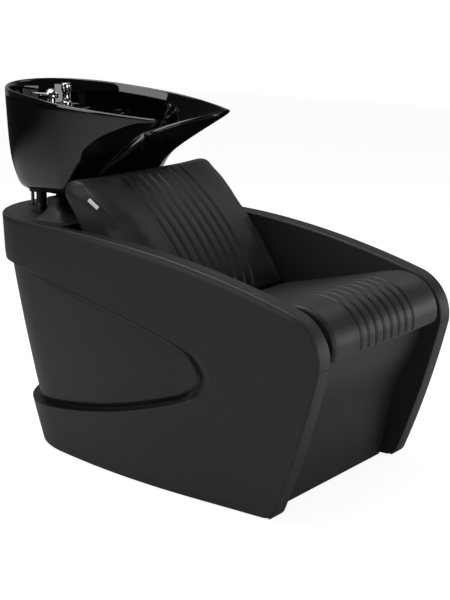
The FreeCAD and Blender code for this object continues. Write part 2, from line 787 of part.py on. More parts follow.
def make_seat_frame():
    half = TUBE / 2
    pieces = []
    drop = BOARD + FIT
    for side in (1, -1):
        x = side * RAIL_X
        pieces.append(slanted(FRONT_RAIL - half, SEAT_REAR, drop, TUBE, x - half, x + half))
        for station in (FRONT_RAIL, SEAT_STRUT_REAR):
            pieces.append(upright(x, station, RAIL_TOP, board_height(station + half) - drop - TUBE_WALL))
    for station in (FRONT_RAIL, SEAT_STRUT_REAR):
        level = board_height(station + half) - drop - TUBE
        pieces.append(cross_tube(INNER_X - SEAM, station, level))
    return joined(pieces)


def make_back_frame():
    half = TUBE / 2
    off = BOARD + 2 * FIT
    pieces = []
    for side in (1, -1):
        x = side * RAIL_X
        pieces.append(back_bar(BACK_HEEL_STATION + TUBE, BACK_WAIST_STATION, off, TUBE, x - half, x + half))
        top = back_line(BACK_STRUT, off) - TUBE
        pieces.append(upright(x, BACK_STRUT, RAIL_TOP, top))
    pieces.append(cross_tube(INNER_X - SEAM, BACK_STRUT, back_line(BACK_STRUT - half, off) - 3 * TUBE))
    return joined(pieces)


def make_basin_post():
    half = POST / 2
    inner = half - POST_WALL
    top = PIVOT_HEIGHT - EAR_RADIUS - 2 * POST_PLATE - FIT
    s0 = PIVOT_STATION - half
    s1 = PIVOT_STATION + half
    tube = block(-half, half, s0, s1, RAIL_TOP, top)
    hollow = block(-inner, inner, PIVOT_STATION - inner, PIVOT_STATION + inner, RAIL_TOP, top)
    flange = 1.5 * half
    foot = block(-flange, flange, PIVOT_STATION - flange, PIVOT_STATION + flange,
                 RAIL_TOP, RAIL_TOP + POST_PLATE)
    deck_low = DECK_HEIGHT - CAP - SEAM
    bar = block(-SADDLE_HALF_TOP, SADDLE_HALF_TOP, PIVOT_STATION - TUBE / 2, PIVOT_STATION + TUBE / 2,
                deck_low - POST_PLATE, deck_low)
    bar = bar.cut(block(-half, half, s0, s1, RAIL_TOP, top))
    return joined([tube.cut(hollow), foot, bar])


def make_post_bolts():
    reach = 1.25 * POST / 2 + 1.0
    low = RAIL_TOP + POST_PLATE
    bolts = []
    for x in (reach, -reach):
        for s in (PIVOT_STATION - reach, PIVOT_STATION + reach):
            bolts.append(hexagon(2.6 * BOLT_RADIUS, at(x, s, low), at(x, s, low + 1.3 * BOLT_RADIUS)))
    return Part.makeCompound(bolts)


# Tilt hinge


def ear(x0, x1, radius, bore, foot_height):
    # A lug round the pivot with its foot up or down
    pivot0 = at(x0, PIVOT_STATION, PIVOT_HEIGHT)
    pivot1 = at(x1, PIVOT_STATION, PIVOT_HEIGHT)
    low, high = sorted((PIVOT_HEIGHT, foot_height))
    web = block(x0, x1, PIVOT_STATION - radius, PIVOT_STATION + radius, low, high)
    return web.fuse(rod(radius, pivot0, pivot1)).cut(rod(bore, pivot0, pivot1))


BRACKET_EAR_X = CARRIER_EAR_X + EAR + WASHER + 2 * FIT


def make_tilt_bracket():
    top = PIVOT_HEIGHT - EAR_RADIUS - POST_PLATE - FIT
    half = BRACKET_EAR_X + EAR
    plate = block(-half, half, PIVOT_STATION - POST / 2, PIVOT_STATION + POST / 2, top - POST_PLATE, top)
    pieces = [plate]
    for side in (1, -1):
        x0, x1 = sorted((side * BRACKET_EAR_X, side * half))
        pieces.append(ear(x0, x1, EAR_RADIUS, PIN_RADIUS + RUNNING, top))
    return joined(pieces)


def make_tilt_pin():
    end = at(BRACKET_EAR_X + 2 * EAR + FIT, PIVOT_STATION, PIVOT_HEIGHT)
    start = at(-end.x, PIVOT_STATION, PIVOT_HEIGHT)
    under_head = end - Vector(EAR, 0, 0)
    return joined([hexagon(2.6 * PIN_RADIUS, under_head, end), rod(PIN_RADIUS, start, under_head)])


def make_pin_nut():
    start = at(-(BRACKET_EAR_X + EAR + SEAM), PIVOT_STATION, PIVOT_HEIGHT)
    end = start - Vector(EAR, 0, 0)
    return hexagon(2.6 * PIN_RADIUS, start, end).cut(rod(PIN_RADIUS + RUNNING, start, end))


def make_friction_washers():
    rings = []
    for side in (1, -1):
        start = at(side * (CARRIER_EAR_X + EAR + FIT), PIVOT_STATION, PIVOT_HEIGHT)
        end = start + Vector(side * WASHER, 0, 0)
        rings.append(ring(EAR_RADIUS, PIN_RADIUS + RUNNING, start, end))
    return Part.makeCompound(rings)


def carrier_bolt_places():
    reach = CARRIER_BOLT_PITCH / 2
    return [(x, PIVOT_STATION + s) for x in (CARRIER_BOLT_X, -CARRIER_BOLT_X) for s in (reach, -reach)]


def make_basin_carrier():
    high = BASIN_BOTTOM - SEAM
    low = high - POST_PLATE
    reach = CARRIER_LENGTH / 2
    pieces = [block(-CARRIER_HALF, CARRIER_HALF, PIVOT_STATION - reach, PIVOT_STATION + reach, low, high)]
    for side in (1, -1):
        x0, x1 = sorted((side * CARRIER_EAR_X, side * (CARRIER_EAR_X + EAR)))
        pieces.append(ear(x0, x1, EAR_RADIUS, PIN_RADIUS + RUNNING, low))
    whole = joined(pieces)
    for x, s in carrier_bolt_places():
        whole = whole.cut(rod(BOLT_RADIUS + FIT, at(x, s, low), at(x, s, high)))
    return whole


def make_carrier_bolts():
    low = BASIN_BOTTOM - SEAM - POST_PLATE - SEAM
    bolts = []
    for x, s in carrier_bolt_places():
        head = hexagon(2.6 * BOLT_RADIUS, at(x, s, low - BOLT_RADIUS), at(x, s, low))
        bolts.append(head.fuse(rod(BOLT_RADIUS, at(x, s, low), at(x, s, BOWL_UNDER))))
    return Part.makeCompound(bolts)


# Basin


def rim_height(station):
    return RIM_REAR_HEIGHT - RIM_SLOPE * (BASIN_REAR - station)


def basin_outline(half, rear, radius, taper, corner, side_mid, bay, height_at):
    p0, p1, p2, p3 = plan_arcs(half, rear, radius, taper, 0, height_at)

    def right(x, s):
        return at(x, s, height_at(s))

    def left(x, s):
        return at(-x, s, height_at(s))

    return Part.Wire([
        arc(right(*corner), right(*side_mid), at(*p0)),
        arc(at(*p0), at(*p1), at(*p2)),
        arc(at(*p2), at(*p3), left(*p2[:2])),
        arc(left(*p2[:2]), left(*p1[:2]), left(*p0[:2])),
        arc(left(*p0[:2]), left(*side_mid), left(*corner)),
        arc(left(*corner), right(0, bay), right(*corner)),
    ])


def rim_outline(inset, lift):
    half = BASIN_HALF - inset
    corner = (TIP_X - inset, TIP_STATION + inset)
    start = plan_arcs(half, BASIN_REAR - inset, BASIN_ROUND - inset, BASIN_TAPER, 0, rim_height)[0]
    side_mid = ((corner[0] + start[0]) / 2 + TIP_BOW, (corner[1] + start[1]) / 2)
    return basin_outline(half, BASIN_REAR - inset, BASIN_ROUND - inset, BASIN_TAPER, corner, side_mid,
                         FRONT_BAY + inset, lambda s: rim_height(s) + lift)


def foot_outline(inset, height):
    half = FOOT_HALF - inset
    corner = (FOOT_CORNER_X - inset, FOOT_CORNER + inset)
    start = plan_arcs(half, FOOT_REAR - inset, FOOT_ROUND - inset, FOOT_TAPER, 0, rim_height)[0]
    side_mid = (0.6 * start[0] + 0.4 * corner[0] + TIP_BOW, (corner[1] + start[1]) / 2 - TIP_BOW / 2)
    return basin_outline(half, FOOT_REAR - inset, FOOT_ROUND - inset, FOOT_TAPER, corner, side_mid,
                         FOOT_CORNER + inset - TIP_BOW / 3, lambda s: height)


def brow_outline(inset, height):
    # The front of the basin stands well out here, the rest lies between rim and foot
    share = (BROW_HEIGHT - BASIN_BOTTOM) / (rim_height(PIVOT_STATION) - BASIN_BOTTOM)

    def between(foot, rim):
        return foot + (rim - foot) * share - inset

    half = between(FOOT_HALF, BASIN_HALF)
    rear = between(FOOT_REAR, BASIN_REAR)
    radius = between(FOOT_ROUND, BASIN_ROUND)
    taper = FOOT_TAPER + (BASIN_TAPER - FOOT_TAPER) * share
    corner = (BROW_CORNER_X - inset, BROW_CORNER + inset)
    start = plan_arcs(half, rear, radius, taper, 0, rim_height)[0]
    side_mid = (0.55 * start[0] + 0.45 * corner[0] + 0.8 * TIP_BOW, (corner[1] + start[1]) / 2 - TIP_BOW / 4)
    return basin_outline(half, rear, radius, taper, corner, side_mid, BROW_BAY + inset, lambda s: height)


def bowl_outline():
    corner = (BOWL_CORNER_X, BOWL_FRONT)
    start = plan_arcs(BOWL_HALF, BOWL_REAR, BOWL_ROUND, FOOT_TAPER, 0, rim_height)[0]
    side_mid = (0.75 * start[0] + 0.25 * corner[0], 0.35 * start[1] + 0.65 * corner[1])
    return basin_outline(BOWL_HALF, BOWL_REAR, BOWL_ROUND, FOOT_TAPER, corner, side_mid,
                         BOWL_FRONT - TIP_BOW / 3, lambda s: BOWL_FLOOR)


def neck_notch():
    edge = NOTCH_ROUND
    low = NOTCH_BOTTOM + (NOTCH_TOP - NOTCH_BOTTOM) * edge / NOTCH_HALF
    s0 = TIP_STATION - BASIN_WALL
    high = RIM_REAR_HEIGHT
    wire = Part.Wire([
        line(at(-NOTCH_HALF, s0, NOTCH_TOP), at(-edge, s0, low)),
        arc(at(-edge, s0, low), at(0, s0, NOTCH_BOTTOM + edge * edge / NOTCH_HALF / 4), at(edge, s0, low)),
        line(at(edge, s0, low), at(NOTCH_HALF, s0, NOTCH_TOP)),
        line(at(NOTCH_HALF, s0, NOTCH_TOP), at(NOTCH_HALF, s0, high)),
        line(at(NOTCH_HALF, s0, high), at(-NOTCH_HALF, s0, high)),
        line(at(-NOTCH_HALF, s0, high), at(-NOTCH_HALF, s0, NOTCH_TOP)),
    ])
    return Part.Face(wire).extrude(Vector(0, BOWL_FRONT - s0, 0))


def make_basin():
    foot = foot_outline(0, BASIN_BOTTOM)
    outer = Part.makeLoft([foot, brow_outline(0, BROW_HEIGHT), rim_outline(0, 0)], True, True)
    brow = brow_outline(1.4 * BASIN_WALL, BROW_HEIGHT + BASIN_WALL)
    mouth = [rim_outline(BASIN_WALL, 0), rim_outline(BASIN_WALL, BASIN_WALL)]
    bowl = Part.makeLoft([bowl_outline(), brow] + mouth, True, True)
    bowl = bowl.cut(block(-WIDTH, WIDTH, LEDGE_FRONT, BEYOND, 0, LEDGE_HEIGHT))
    skirt_foot = foot_outline(SKIRT_WALL, BASIN_BOTTOM - SKIRT_WALL)
    skirt_brow = brow_outline(SKIRT_WALL, BROW_HEIGHT)
    skirt = Part.makeLoft([skirt_foot, skirt_brow, rim_outline(SKIRT_WALL, 0)], True, True)
    pad_rear = PIVOT_STATION + CARRIER_LENGTH / 2 + BASIN_WALL
    wall_rear = LEDGE_FRONT + BASIN_WALL
    under = block(-WIDTH, WIDTH, wall_rear, BEYOND, 0, LEDGE_HEIGHT - LEDGE_SKIN)
    under = under.fuse(block(-WIDTH, WIDTH, pad_rear, wall_rear, 0, BOWL_UNDER))
    whole = outer.cut(bowl).cut(skirt.common(under)).cut(neck_notch())
    whole = whole.cut(post(WASTE_HOLE, 0, WASTE_STATION, BASIN_BOTTOM, LEDGE_HEIGHT))
    tap_holes = ((0, MIXER_STATION, MIXER_STUD + FIT), (SHOWER_X, SHOWER_STATION, SOCKET_RADIUS + FIT))
    for x, s, radius in tap_holes:
        whole = whole.cut(post(radius, x, s, LEDGE_HEIGHT - 2 * LEDGE_SKIN, LEDGE_HEIGHT + LEDGE_SKIN))
    for x, s in carrier_bolt_places():
        whole = whole.cut(post(BOLT_RADIUS + FIT, x, s, BASIN_BOTTOM - CAP, BOWL_UNDER + FIT))
    return whole


def make_overflow_cover(basin):
    axis_start = at(BOWL_HALF + BASIN_WALL, OVERFLOW_STATION, OVERFLOW_HEIGHT)
    plug = rod(OVERFLOW_RADIUS, axis_start, axis_start + Vector(3 * BASIN_WALL, 0, 0))
    pieces = plug.cut(basin).Solids
    return min(pieces, key=lambda piece: piece.CenterOfMass.x)


# Waste


def make_waste_flange():
    tube = WASTE_HOLE - FIT
    bore = tube - 2 * WASTE_LIP
    top = BOWL_FLOOR + WASTE_LIP
    lip = sleeve(WASTE_FLANGE, bore, 0, WASTE_STATION, BOWL_FLOOR + SEAM, top)
    neck = sleeve(tube, bore, 0, WASTE_STATION, BOWL_UNDER - TRAP_DROP / 2, top)
    return joined([lip, neck])


def make_strainer():
    # A round lid with rings of drain holes and a plug that drops into the flange
    low = BOWL_FLOOR + WASTE_LIP + FIT
    lid = post(STRAINER_RADIUS, 0, WASTE_STATION, low, low + WASTE_LIP)
    plug = WASTE_HOLE - 2 * WASTE_LIP - 2 * FIT
    skirt = sleeve(plug, plug - WASTE_LIP, 0, WASTE_STATION, low - 3 * WASTE_LIP, low)
    whole = joined([lid, skirt])
    for radius, count in ((3.5 * STRAINER_HOLE, 5), (6.5 * STRAINER_HOLE, 10)):
        for step in range(count):
            angle = 2 * math.pi * step / count
            x = radius * math.cos(angle)
            s = WASTE_STATION + radius * math.sin(angle)
            whole = whole.cut(post(STRAINER_HOLE, x, s, low - WASTE_LIP, low + 2 * WASTE_LIP))
    return whole


TRAP_TOP = BOWL_UNDER - FIT
TRAP_BOTTOM = TRAP_TOP - TRAP_DROP
SPIGOT_BOTTOM = TRAP_BOTTOM - SPIGOT_LENGTH
TRAP_ENDS = ((0, WASTE_STATION), (HOSE_X, HOSE_STATION))


def trap_bar(half, z0, z1):
    # A straight bar in plan from the waste to the hose
    start = at(0, WASTE_STATION, z0)
    end = at(HOSE_X, HOSE_STATION, z0)
    aside = Vector(0, 0, 1).cross(end - start).normalize() * half
    corners = [start + aside, end + aside, end - aside, start - aside]
    return Part.Face(Part.makePolygon(corners + corners[:1])).extrude(Vector(0, 0, z1 - z0))


def make_waste_trap():
    wall = WASTE_LIP
    shell = trap_bar(TRAP_HALF, TRAP_BOTTOM, TRAP_TOP)
    ends = [post(TRAP_HALF, x, s, TRAP_BOTTOM, TRAP_TOP) for x, s in TRAP_ENDS]
    spigot = post(SPIGOT, HOSE_X, HOSE_STATION, SPIGOT_BOTTOM, TRAP_TOP)
    whole = joined([shell] + ends + [spigot])
    inlet = post(WASTE_HOLE, 0, WASTE_STATION, TRAP_BOTTOM + wall, TRAP_TOP)
    duct = trap_bar(SPIGOT, TRAP_BOTTOM + wall, TRAP_TOP - wall)
    outlet = post(SPIGOT - wall, HOSE_X, HOSE_STATION, SPIGOT_BOTTOM, TRAP_TOP - wall)
    return whole.cut(inlet).cut(duct).cut(outlet)


def make_drain_hose():
    # Ribbed hose with a plain cuff at each end
    top = TRAP_BOTTOM - FIT
    cuff = 2 * HOSE_RADIUS
    count = int((top - HOSE_BOTTOM - 2 * cuff) / RIB_PITCH)
    start = HOSE_BOTTOM + (top - HOSE_BOTTOM - count * RIB_PITCH) / 2
    circles = [(HOSE_BOTTOM, HOSE_ROOT)]
    for step in range(count):
        z = start + step * RIB_PITCH
        for share, radius in ((0.0, HOSE_ROOT), (0.25, HOSE_RADIUS), (0.6, HOSE_RADIUS), (0.85, HOSE_ROOT)):
            circles.append((z + share * RIB_PITCH, radius))
    circles.append((top, HOSE_ROOT))
    wires = []
    for z, radius in circles:
        ring_edge = Part.Circle(at(HOSE_X, HOSE_STATION, z), Vector(0, 0, 1), radius).toShape()
        wires.append(Part.Wire(ring_edge))
    outside = Part.makeLoft(wires, True, True)
    return outside.cut(post(HOSE_BORE, HOSE_X, HOSE_STATION, HOSE_BOTTOM, top))


def make_drain_pipe():
    # From the ribbed hose, forward under the deck and down to the floor
    outlet = PIVOT_STATION + TUBE / 2 + 2 * PIPE_RADIUS
    knee = HOSE_BOTTOM - PIPE_KNEE
    points = [
        at(HOSE_X, HOSE_STATION, HOSE_BOTTOM - FIT),
        at(HOSE_X, HOSE_STATION, knee),
        at(HOSE_X, outlet, knee - PIPE_FALL * (HOSE_STATION - outlet)),
        at(HOSE_X, outlet, PIPE_BOTTOM),
    ]
    path = rounded_path(points, 2.2 * PIPE_RADIUS)
    nipple_top = at(HOSE_X, HOSE_STATION, HOSE_BOTTOM + SPIGOT_LENGTH)
    nipple = rod(SPIGOT, points[0], nipple_top)
    bore = rod(SPIGOT - PIPE_WALL, points[0] - Vector(0, 0, PIPE_WALL), nipple_top)
    pipe = joined([swept(path, PIPE_RADIUS), nipple])
    return pipe.cut(swept(path, PIPE_RADIUS - PIPE_WALL).common(
        block(-WIDTH, WIDTH, 0, BEYOND, 0, HOSE_BOTTOM - FIT - PIPE_WALL))).cut(bore)


# Taps


def make_mixer_base():
    s = MIXER_STATION
    z = LEDGE_HEIGHT + SEAM
    dome_centre = LEDGE_HEIGHT + DOME_HEIGHT
    flange = post(1.15 * DOME_RADIUS, 0, s, z, z + 2 * WASTE_LIP)
    neck = post(NECK_RADIUS, 0, s, z, dome_centre - NECK_DROP)
    stud = post(MIXER_STUD, 0, s, LEDGE_HEIGHT - 2.3 * LEDGE_SKIN, z)
    return joined([flange, neck, stud])


def make_mixer_nut():
    high = LEDGE_HEIGHT - LEDGE_SKIN - SEAM
    start = at(0, MIXER_STATION, high - 0.6 * LEDGE_SKIN)
    end = at(0, MIXER_STATION, high)
    return hexagon(2.7 * MIXER_STUD, start, end).cut(rod(MIXER_STUD + RUNNING, start, end))


def make_mixer_cartridge():
    centre = LEDGE_HEIGHT + DOME_HEIGHT
    s = MIXER_STATION
    drum = post(NECK_RADIUS - 1.0, 0, s, centre - NECK_DROP + FIT, centre + DRUM_RISE)
    reach = DOME_RADIUS - DOME_WALL - FIT
    cross_pin = rod(CROSS_PIN, at(0, s - reach, centre), at(0, s + reach, centre))
    return joined([drum, cross_pin])


def make_mixer_handle():
    # A hollow dome over the cartridge with a lever that points to the left
    centre = at(0, MIXER_STATION, LEDGE_HEIGHT + DOME_HEIGHT)
    skirt = Vector(0, 0, 0.27 * DOME_RADIUS)
    dome = Part.makeSphere(DOME_RADIUS, centre)
    lever_start = centre + Vector(-0.5 * DOME_RADIUS, 0, 2.0)
    lever_end = centre + Vector(-LEVER_LENGTH, 0, LEVER_RISE)
    whole = joined([dome, rod(LEVER_RADIUS, lever_start, lever_end), Part.makeSphere(LEVER_BALL, lever_end)])
    whole = whole.cut(Part.makeSphere(DOME_RADIUS - DOME_WALL, centre))
    half = 2 * DOME_RADIUS
    cut_low = centre - skirt
    return whole.cut(Part.makeBox(2 * half, 2 * half, half, cut_low - Vector(half, half, half)))


def make_shower_socket():
    top = LEDGE_HEIGHT + SEAM
    bore = SHOWER_RADIUS + FIT
    flange = sleeve(SOCKET_RADIUS + SOCKET_LIP, bore, SHOWER_X, SHOWER_STATION, top, top + SOCKET_LIP)
    tube = sleeve(SOCKET_RADIUS, bore, SHOWER_X, SHOWER_STATION, LEDGE_HEIGHT - 3 * LEDGE_SKIN, top)
    return joined([flange, tube])


def make_hand_shower():
    low = LEDGE_HEIGHT - 2 * LEDGE_SKIN
    seat = LEDGE_HEIGHT + SEAM + SOCKET_LIP + FIT
    x, s = SHOWER_X, SHOWER_STATION
    handle = post(SHOWER_RADIUS, x, s, low, SHOWER_TOP - SHOWER_HEAD / 2)
    collar = post(SOCKET_RADIUS - 2 * FIT, x, s, seat, seat + SHOWER_COLLAR)
    head = post(SHOWER_RADIUS + 2.0, x, s, SHOWER_TOP - SHOWER_HEAD, SHOWER_TOP)
    return joined([handle, collar, head])


def make_hose_tail():
    top = LEDGE_HEIGHT - 2 * LEDGE_SKIN - SEAM
    return sleeve(TAIL_RADIUS, TAIL_RADIUS - TAIL_WALL, SHOWER_X, SHOWER_STATION, TAIL_BOTTOM, top)


def make_supply_hose(side):
    # From the mixer's stud, down behind the bowl, through the deck and to the floor
    start_height = LEDGE_HEIGHT - 2.3 * LEDGE_SKIN - FIT
    x0 = 1.6 * SUPPLY_RADIUS
    floor_station = PIVOT_STATION + POST
    points = [
        at(x0, MIXER_STATION, start_height),
        at(x0, MIXER_STATION, start_height - SUPPLY_DROP),
        at(SUPPLY_X, SUPPLY_STATION, start_height - SUPPLY_SWING),
        at(SUPPLY_X, SUPPLY_STATION, DECK_HEIGHT - SUPPLY_DECK_DROP),
        at(SUPPLY_X, floor_station, DECK_HEIGHT - SUPPLY_FALL),
        at(SUPPLY_X, floor_station, SUPPLY_BOTTOM + SUPPLY_NUT_LENGTH),
    ]
    return sided(swept(rounded_path(points, 9 * SUPPLY_RADIUS), SUPPLY_RADIUS), side)


def make_supply_nut(side):
    station = PIVOT_STATION + POST
    low = at(SUPPLY_X, station, SUPPLY_BOTTOM)
    high = at(SUPPLY_X, station, SUPPLY_BOTTOM + SUPPLY_NUT_LENGTH - SEAM)
    nut = hexagon(2.6 * SUPPLY_NUT_BORE, low, high)
    thread = rod(SUPPLY_NUT_BORE, low, low + Vector(0, 0, SUPPLY_THREAD))
    return sided(nut.cut(thread), side)


basin = make_basin()
pieces = {
    "outer_shell": make_outer_shell(),
    "front_panel": make_front_panel(),
    "rear_deck": make_rear_deck(),
    "drain_collar": make_collar(HOSE_X, HOSE_STATION, HOSE_RADIUS + FIT, HOSE_RADIUS + CAP),
    "seat_cushion": make_cushion(seat_section),
    "back_cushion": make_cushion(back_section),
    "seat_board": make_seat_board(),
    "back_board": make_back_board(),
    "base_frame": make_base_frame(),
    "floor_pads": make_floor_pads(),
    "seat_frame": make_seat_frame(),
    "back_frame": make_back_frame(),
    "basin_post": make_basin_post(),
    "post_bolts": make_post_bolts(),
    "tilt_bracket": make_tilt_bracket(),
    "tilt_pin": make_tilt_pin(),
    "pin_nut": make_pin_nut(),
    "friction_washers": make_friction_washers(),
    "basin_carrier": make_basin_carrier(),
    "carrier_bolts": make_carrier_bolts(),
    "basin": basin,
    "overflow_cover": make_overflow_cover(basin),
    "waste_flange": make_waste_flange(),
    "strainer": make_strainer(),
    "waste_trap": make_waste_trap(),
    "drain_hose": make_drain_hose(),
    "drain_pipe": make_drain_pipe(),
    "mixer_base": make_mixer_base(),
    "mixer_nut": make_mixer_nut(),
    "mixer_cartridge": make_mixer_cartridge(),
    "mixer_handle": make_mixer_handle(),
    "shower_socket": make_shower_socket(),
    "hand_shower": make_hand_shower(),
    "hose_tail": make_hose_tail(),
}
for name, side in (("right", 1), ("left", -1)):
    pieces[name + "_arm_trim"] = make_arm_trim(side)
    pieces[name + "_leg_trim"] = make_leg_trim(side)
    collar = make_collar(side * SUPPLY_X, SUPPLY_STATION, SUPPLY_RADIUS + FIT, 2 * SUPPLY_RADIUS)
    pieces[name + "_supply_collar"] = collar
    pieces[name + "_supply_hose"] = make_supply_hose(side)
    pieces[name + "_supply_nut"] = make_supply_nut(side)

for name, shape in pieces.items():
    shape.exportStep("parts/" + name + ".step")
    print(name, len(shape.Solids), shape.isValid(), round(shape.Volume / 1000), "cm3")
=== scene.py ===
import json
import math

import bmesh
import bpy
import numpy as np
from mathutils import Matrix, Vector
from mathutils.bvhtree import BVHTree


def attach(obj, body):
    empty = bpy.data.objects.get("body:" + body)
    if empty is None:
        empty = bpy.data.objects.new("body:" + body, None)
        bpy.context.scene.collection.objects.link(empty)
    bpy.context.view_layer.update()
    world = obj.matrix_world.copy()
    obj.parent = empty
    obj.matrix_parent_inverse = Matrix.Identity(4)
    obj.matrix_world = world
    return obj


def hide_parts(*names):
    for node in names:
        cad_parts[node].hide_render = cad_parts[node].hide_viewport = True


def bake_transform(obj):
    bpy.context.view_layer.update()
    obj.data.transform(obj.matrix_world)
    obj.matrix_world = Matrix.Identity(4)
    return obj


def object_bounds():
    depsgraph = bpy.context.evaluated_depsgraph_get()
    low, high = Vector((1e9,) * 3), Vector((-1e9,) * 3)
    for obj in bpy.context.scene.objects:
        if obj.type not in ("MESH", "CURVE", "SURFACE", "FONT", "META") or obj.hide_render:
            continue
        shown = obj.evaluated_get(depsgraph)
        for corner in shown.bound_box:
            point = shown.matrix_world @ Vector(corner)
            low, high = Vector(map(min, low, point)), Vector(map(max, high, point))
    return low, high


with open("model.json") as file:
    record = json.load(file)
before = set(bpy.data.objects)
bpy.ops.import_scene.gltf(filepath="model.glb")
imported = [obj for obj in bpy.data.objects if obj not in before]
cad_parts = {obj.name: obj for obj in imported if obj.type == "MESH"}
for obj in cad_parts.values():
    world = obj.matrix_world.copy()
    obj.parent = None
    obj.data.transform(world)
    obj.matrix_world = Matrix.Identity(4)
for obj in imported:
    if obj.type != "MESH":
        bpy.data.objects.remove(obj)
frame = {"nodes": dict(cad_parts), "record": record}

bl_info = {
    "name": "Backwash unit looks",
    "version": (1, 0, 0),
    "blender": (4, 5, 0),
    "location": "View3D > Sidebar > Backwash",
    "description": "Builds the moulded body, sewn cushions, glazed basin and taps of a salon backwash unit",
    "category": "Object",
}

CAD_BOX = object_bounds()
MM = 0.001
LENGTH = round((CAD_BOX[1].y - CAD_BOX[0].y) / MM)

# Side profile of arm and leg, as stations from the nose and heights from the floor, in millimetres
HALF = 320.0
INNER_X = 270.0
INNER_WALL = 4.0
DECK_HEIGHT = 650.0
DECK_START = 866.0
DECK_SKIN = 8.0
FLOOR_GAP = 3.0
FOOT = (134.0, 0.0)
KNEE = (58.0, 203.0)
FOOT_ROUND = 20.0
LEG_GROOVE = 2.0
NOSE_RADIUS = 124.0
NOSE_HEIGHT = 418.0
NOSE_ANGLES = (-5.5, 70.7)
ARM_MID = (475.0, 622.0)

# Plan of the moulded body, and how far its rear swells below a height
REAR_RADIUS = 272.0
TAPER = math.radians(12.3)
REAR_HEIGHTS = (0.0, 145.0, 540.0, 650.0)
REAR_STATIONS = (LENGTH - 144.0, LENGTH - 100.0, LENGTH - 6.0, float(LENGTH))
SPLIT_STATION = 850.0
REAR_BULGE = 17.0
BULGE_TOP = 530.0

# Leaf-shaped recess
LEAF_TOP = 522.0
LEAF_BOTTOM = 118.0
LEAF_TIP = (324.0, 341.0)
LEAF_TOP_STATION = 1080.0
LEAF_BOTTOM_STATION = 1045.0
LEAF_DEPTHS = (6.0, 18.0, 35.0, 4.0)
# Run of the leaf's wall, and what the rear and the tip add to it
WALL_RUN = (5.0, 9.0, 38.0)
# Reach of the groove behind the wall, what the upper edge takes from it and what the tip adds
GROOVE_REACH = (15.0, 10.0, 28.0)
GROOVE_SLOPE = 6.0
GROOVE_DROP = 10.0
# How the groove fades along the upper edge: by which share, from which station, over which run
GROOVE_FADES = ((0.65, 370.0, 110.0), (0.35, 800.0, 200.0))

# Trims: how far they lap down the side, the dark slot along the top, and the tuck where parts meet
ARM_LIP = 6.5
LEG_LIP = 3.5
SLOT_INSET = 9.0
SLOT_DEPTH = 3.0
SLOT_START = 180.0
SLOT_RUN = 120.0
TUCK = 0.9
TRIM_SEAM = 1.0

# Saddle on the deck: inner face, then outer face, front and rear at its foot and at its head;
# the post in its middle and the holes in the deck
CHEEK_INNER = 58.0
CHEEK_FOOT = (240.0, 884.0, 1020.0)
CHEEK_HEAD = (206.0, 936.0, 982.0)
CHEEK_TOP = 711.0
PIVOT_STATION = 960.0
POST_HALF = 38.0
DECK_SEAM = 0.6
SUPPLY_HOLE = 10.0
DRAIN_HOLE = 25.0

# Front panel: its S line as stations and heights from the floor up, its edge round and its return
PANEL_TOP = 401.0
PANEL_LINE = ((178.0, FLOOR_GAP), (163.0, 76.0), (150.0, 140.0), (137.0, 196.0), (124.0, 232.0),
              (104.0, 272.0), (80.0, 316.0), (66.0, 350.0), (58.0, 380.0), (54.0, PANEL_TOP))
PANEL_EDGE = 9.0
PANEL_RETURN = 16.0
PANEL_WALL = 5.0

# Basin outlines
BASIN_BOTTOM = 715.0
RIM_REAR = 1003.0
RIM_SLOPE = 0.105
BASIN_REAR = 1236.0
LEDGE_HEIGHT = 930.0
LEDGE_FRONT = 1112.0
BOWL_FLOOR = 757.0
WASTE_STATION = 1066.0
RIM_WALL = 14.0
BROW_WALL = 20.0
FOOT_WALL = 34.0
RIM_ROLL = 7.0
BROW_HEIGHT = 810.0
NOTCH_HEIGHT = 872.0
TIP_RISE = 9.0
FOOT_CENTRE = np.array((0.0, 1000.0))
WASTE_RADIUS = 23.0
LEDGE_HALF = 158.0

# Cushions
CUSHION_HALF = 266.5
SIDE_LIMIT = 269.0
NOSE_TUCK = 0.07
CREST_SPREAD = 0.065
CAGE_INSET = 2.5
SEWN_LINES = 8
SEWN_PITCH = 36.5
SEWN_HALF = 150.0
PAD_LIFT = 0.12
SEAM_DEPTH = 2.0
SEAM_WIDTH = 2.6
VOXEL = 5.0
STUFFING_FRAMES = 20
STUFFING_PRESSURE = 4.0
EVEN_ROUNDS = 25
# Lines that the cushions rest on, from one station and height to another, and how near them they are held
SEAT_UNDER = ((36.0, 404.0), (488.0, 347.0))
SEAT_HELD = 9.0
SEAT_REAR = 490.0
BACK_REAR = ((609.0, 404.0), (789.0, 648.0))
BACK_HELD = 8.0
# Direction into the face of the back cushion, along and up
BACK_LEAN = (0.764, -0.645)
# Rows of stitches beside the seams, and the sewn tag: its place, its fall and its reach and lift
SEAT_STITCHES = ((0, 0, 4.0), (0, 0, -4.0))
BACK_STITCHES = ((0, 2.6, -3.0),)
TAG_STATIONS = (720.0, 752.0)
TAG_FALL = (0.0, 0.64, -0.77)
TAG_STEPS = ((-1.0, 0.3), (3.0, 1.0), (7.0, 1.5), (10.5, 1.3))

# Taps and hoses
MIXER_STATION = 1150.0
DOME_CENTRE = 964.0
SHOWER_X = 58.0
SHOWER_STATION = 1145.0
HOSE_END = 784.0
HOSE_BORE = 16.0
SUPPLY_X = 52.0
SUPPLY_STATION = 1186.0
SUPPLY_RADIUS = 5.0
DRAIN_X = -118.0
DRAIN_STATION = 1085.0
DRAIN_TOP = 708.0
DRAIN_BOTTOM = 560.0
RIB_PITCH = 5.2

# Camera, fitted to the photo, in metres and degrees, and the pale floor's tone
CAMERA_PLACE = (-2.9659, -2.3425, 1.3401)
CAMERA_TURN = (76.46, 0.0, -53.0)
CAMERA_LENS = 84.0
CAMERA_SENSOR = 36.0
FLOOR_TONE = 0.8

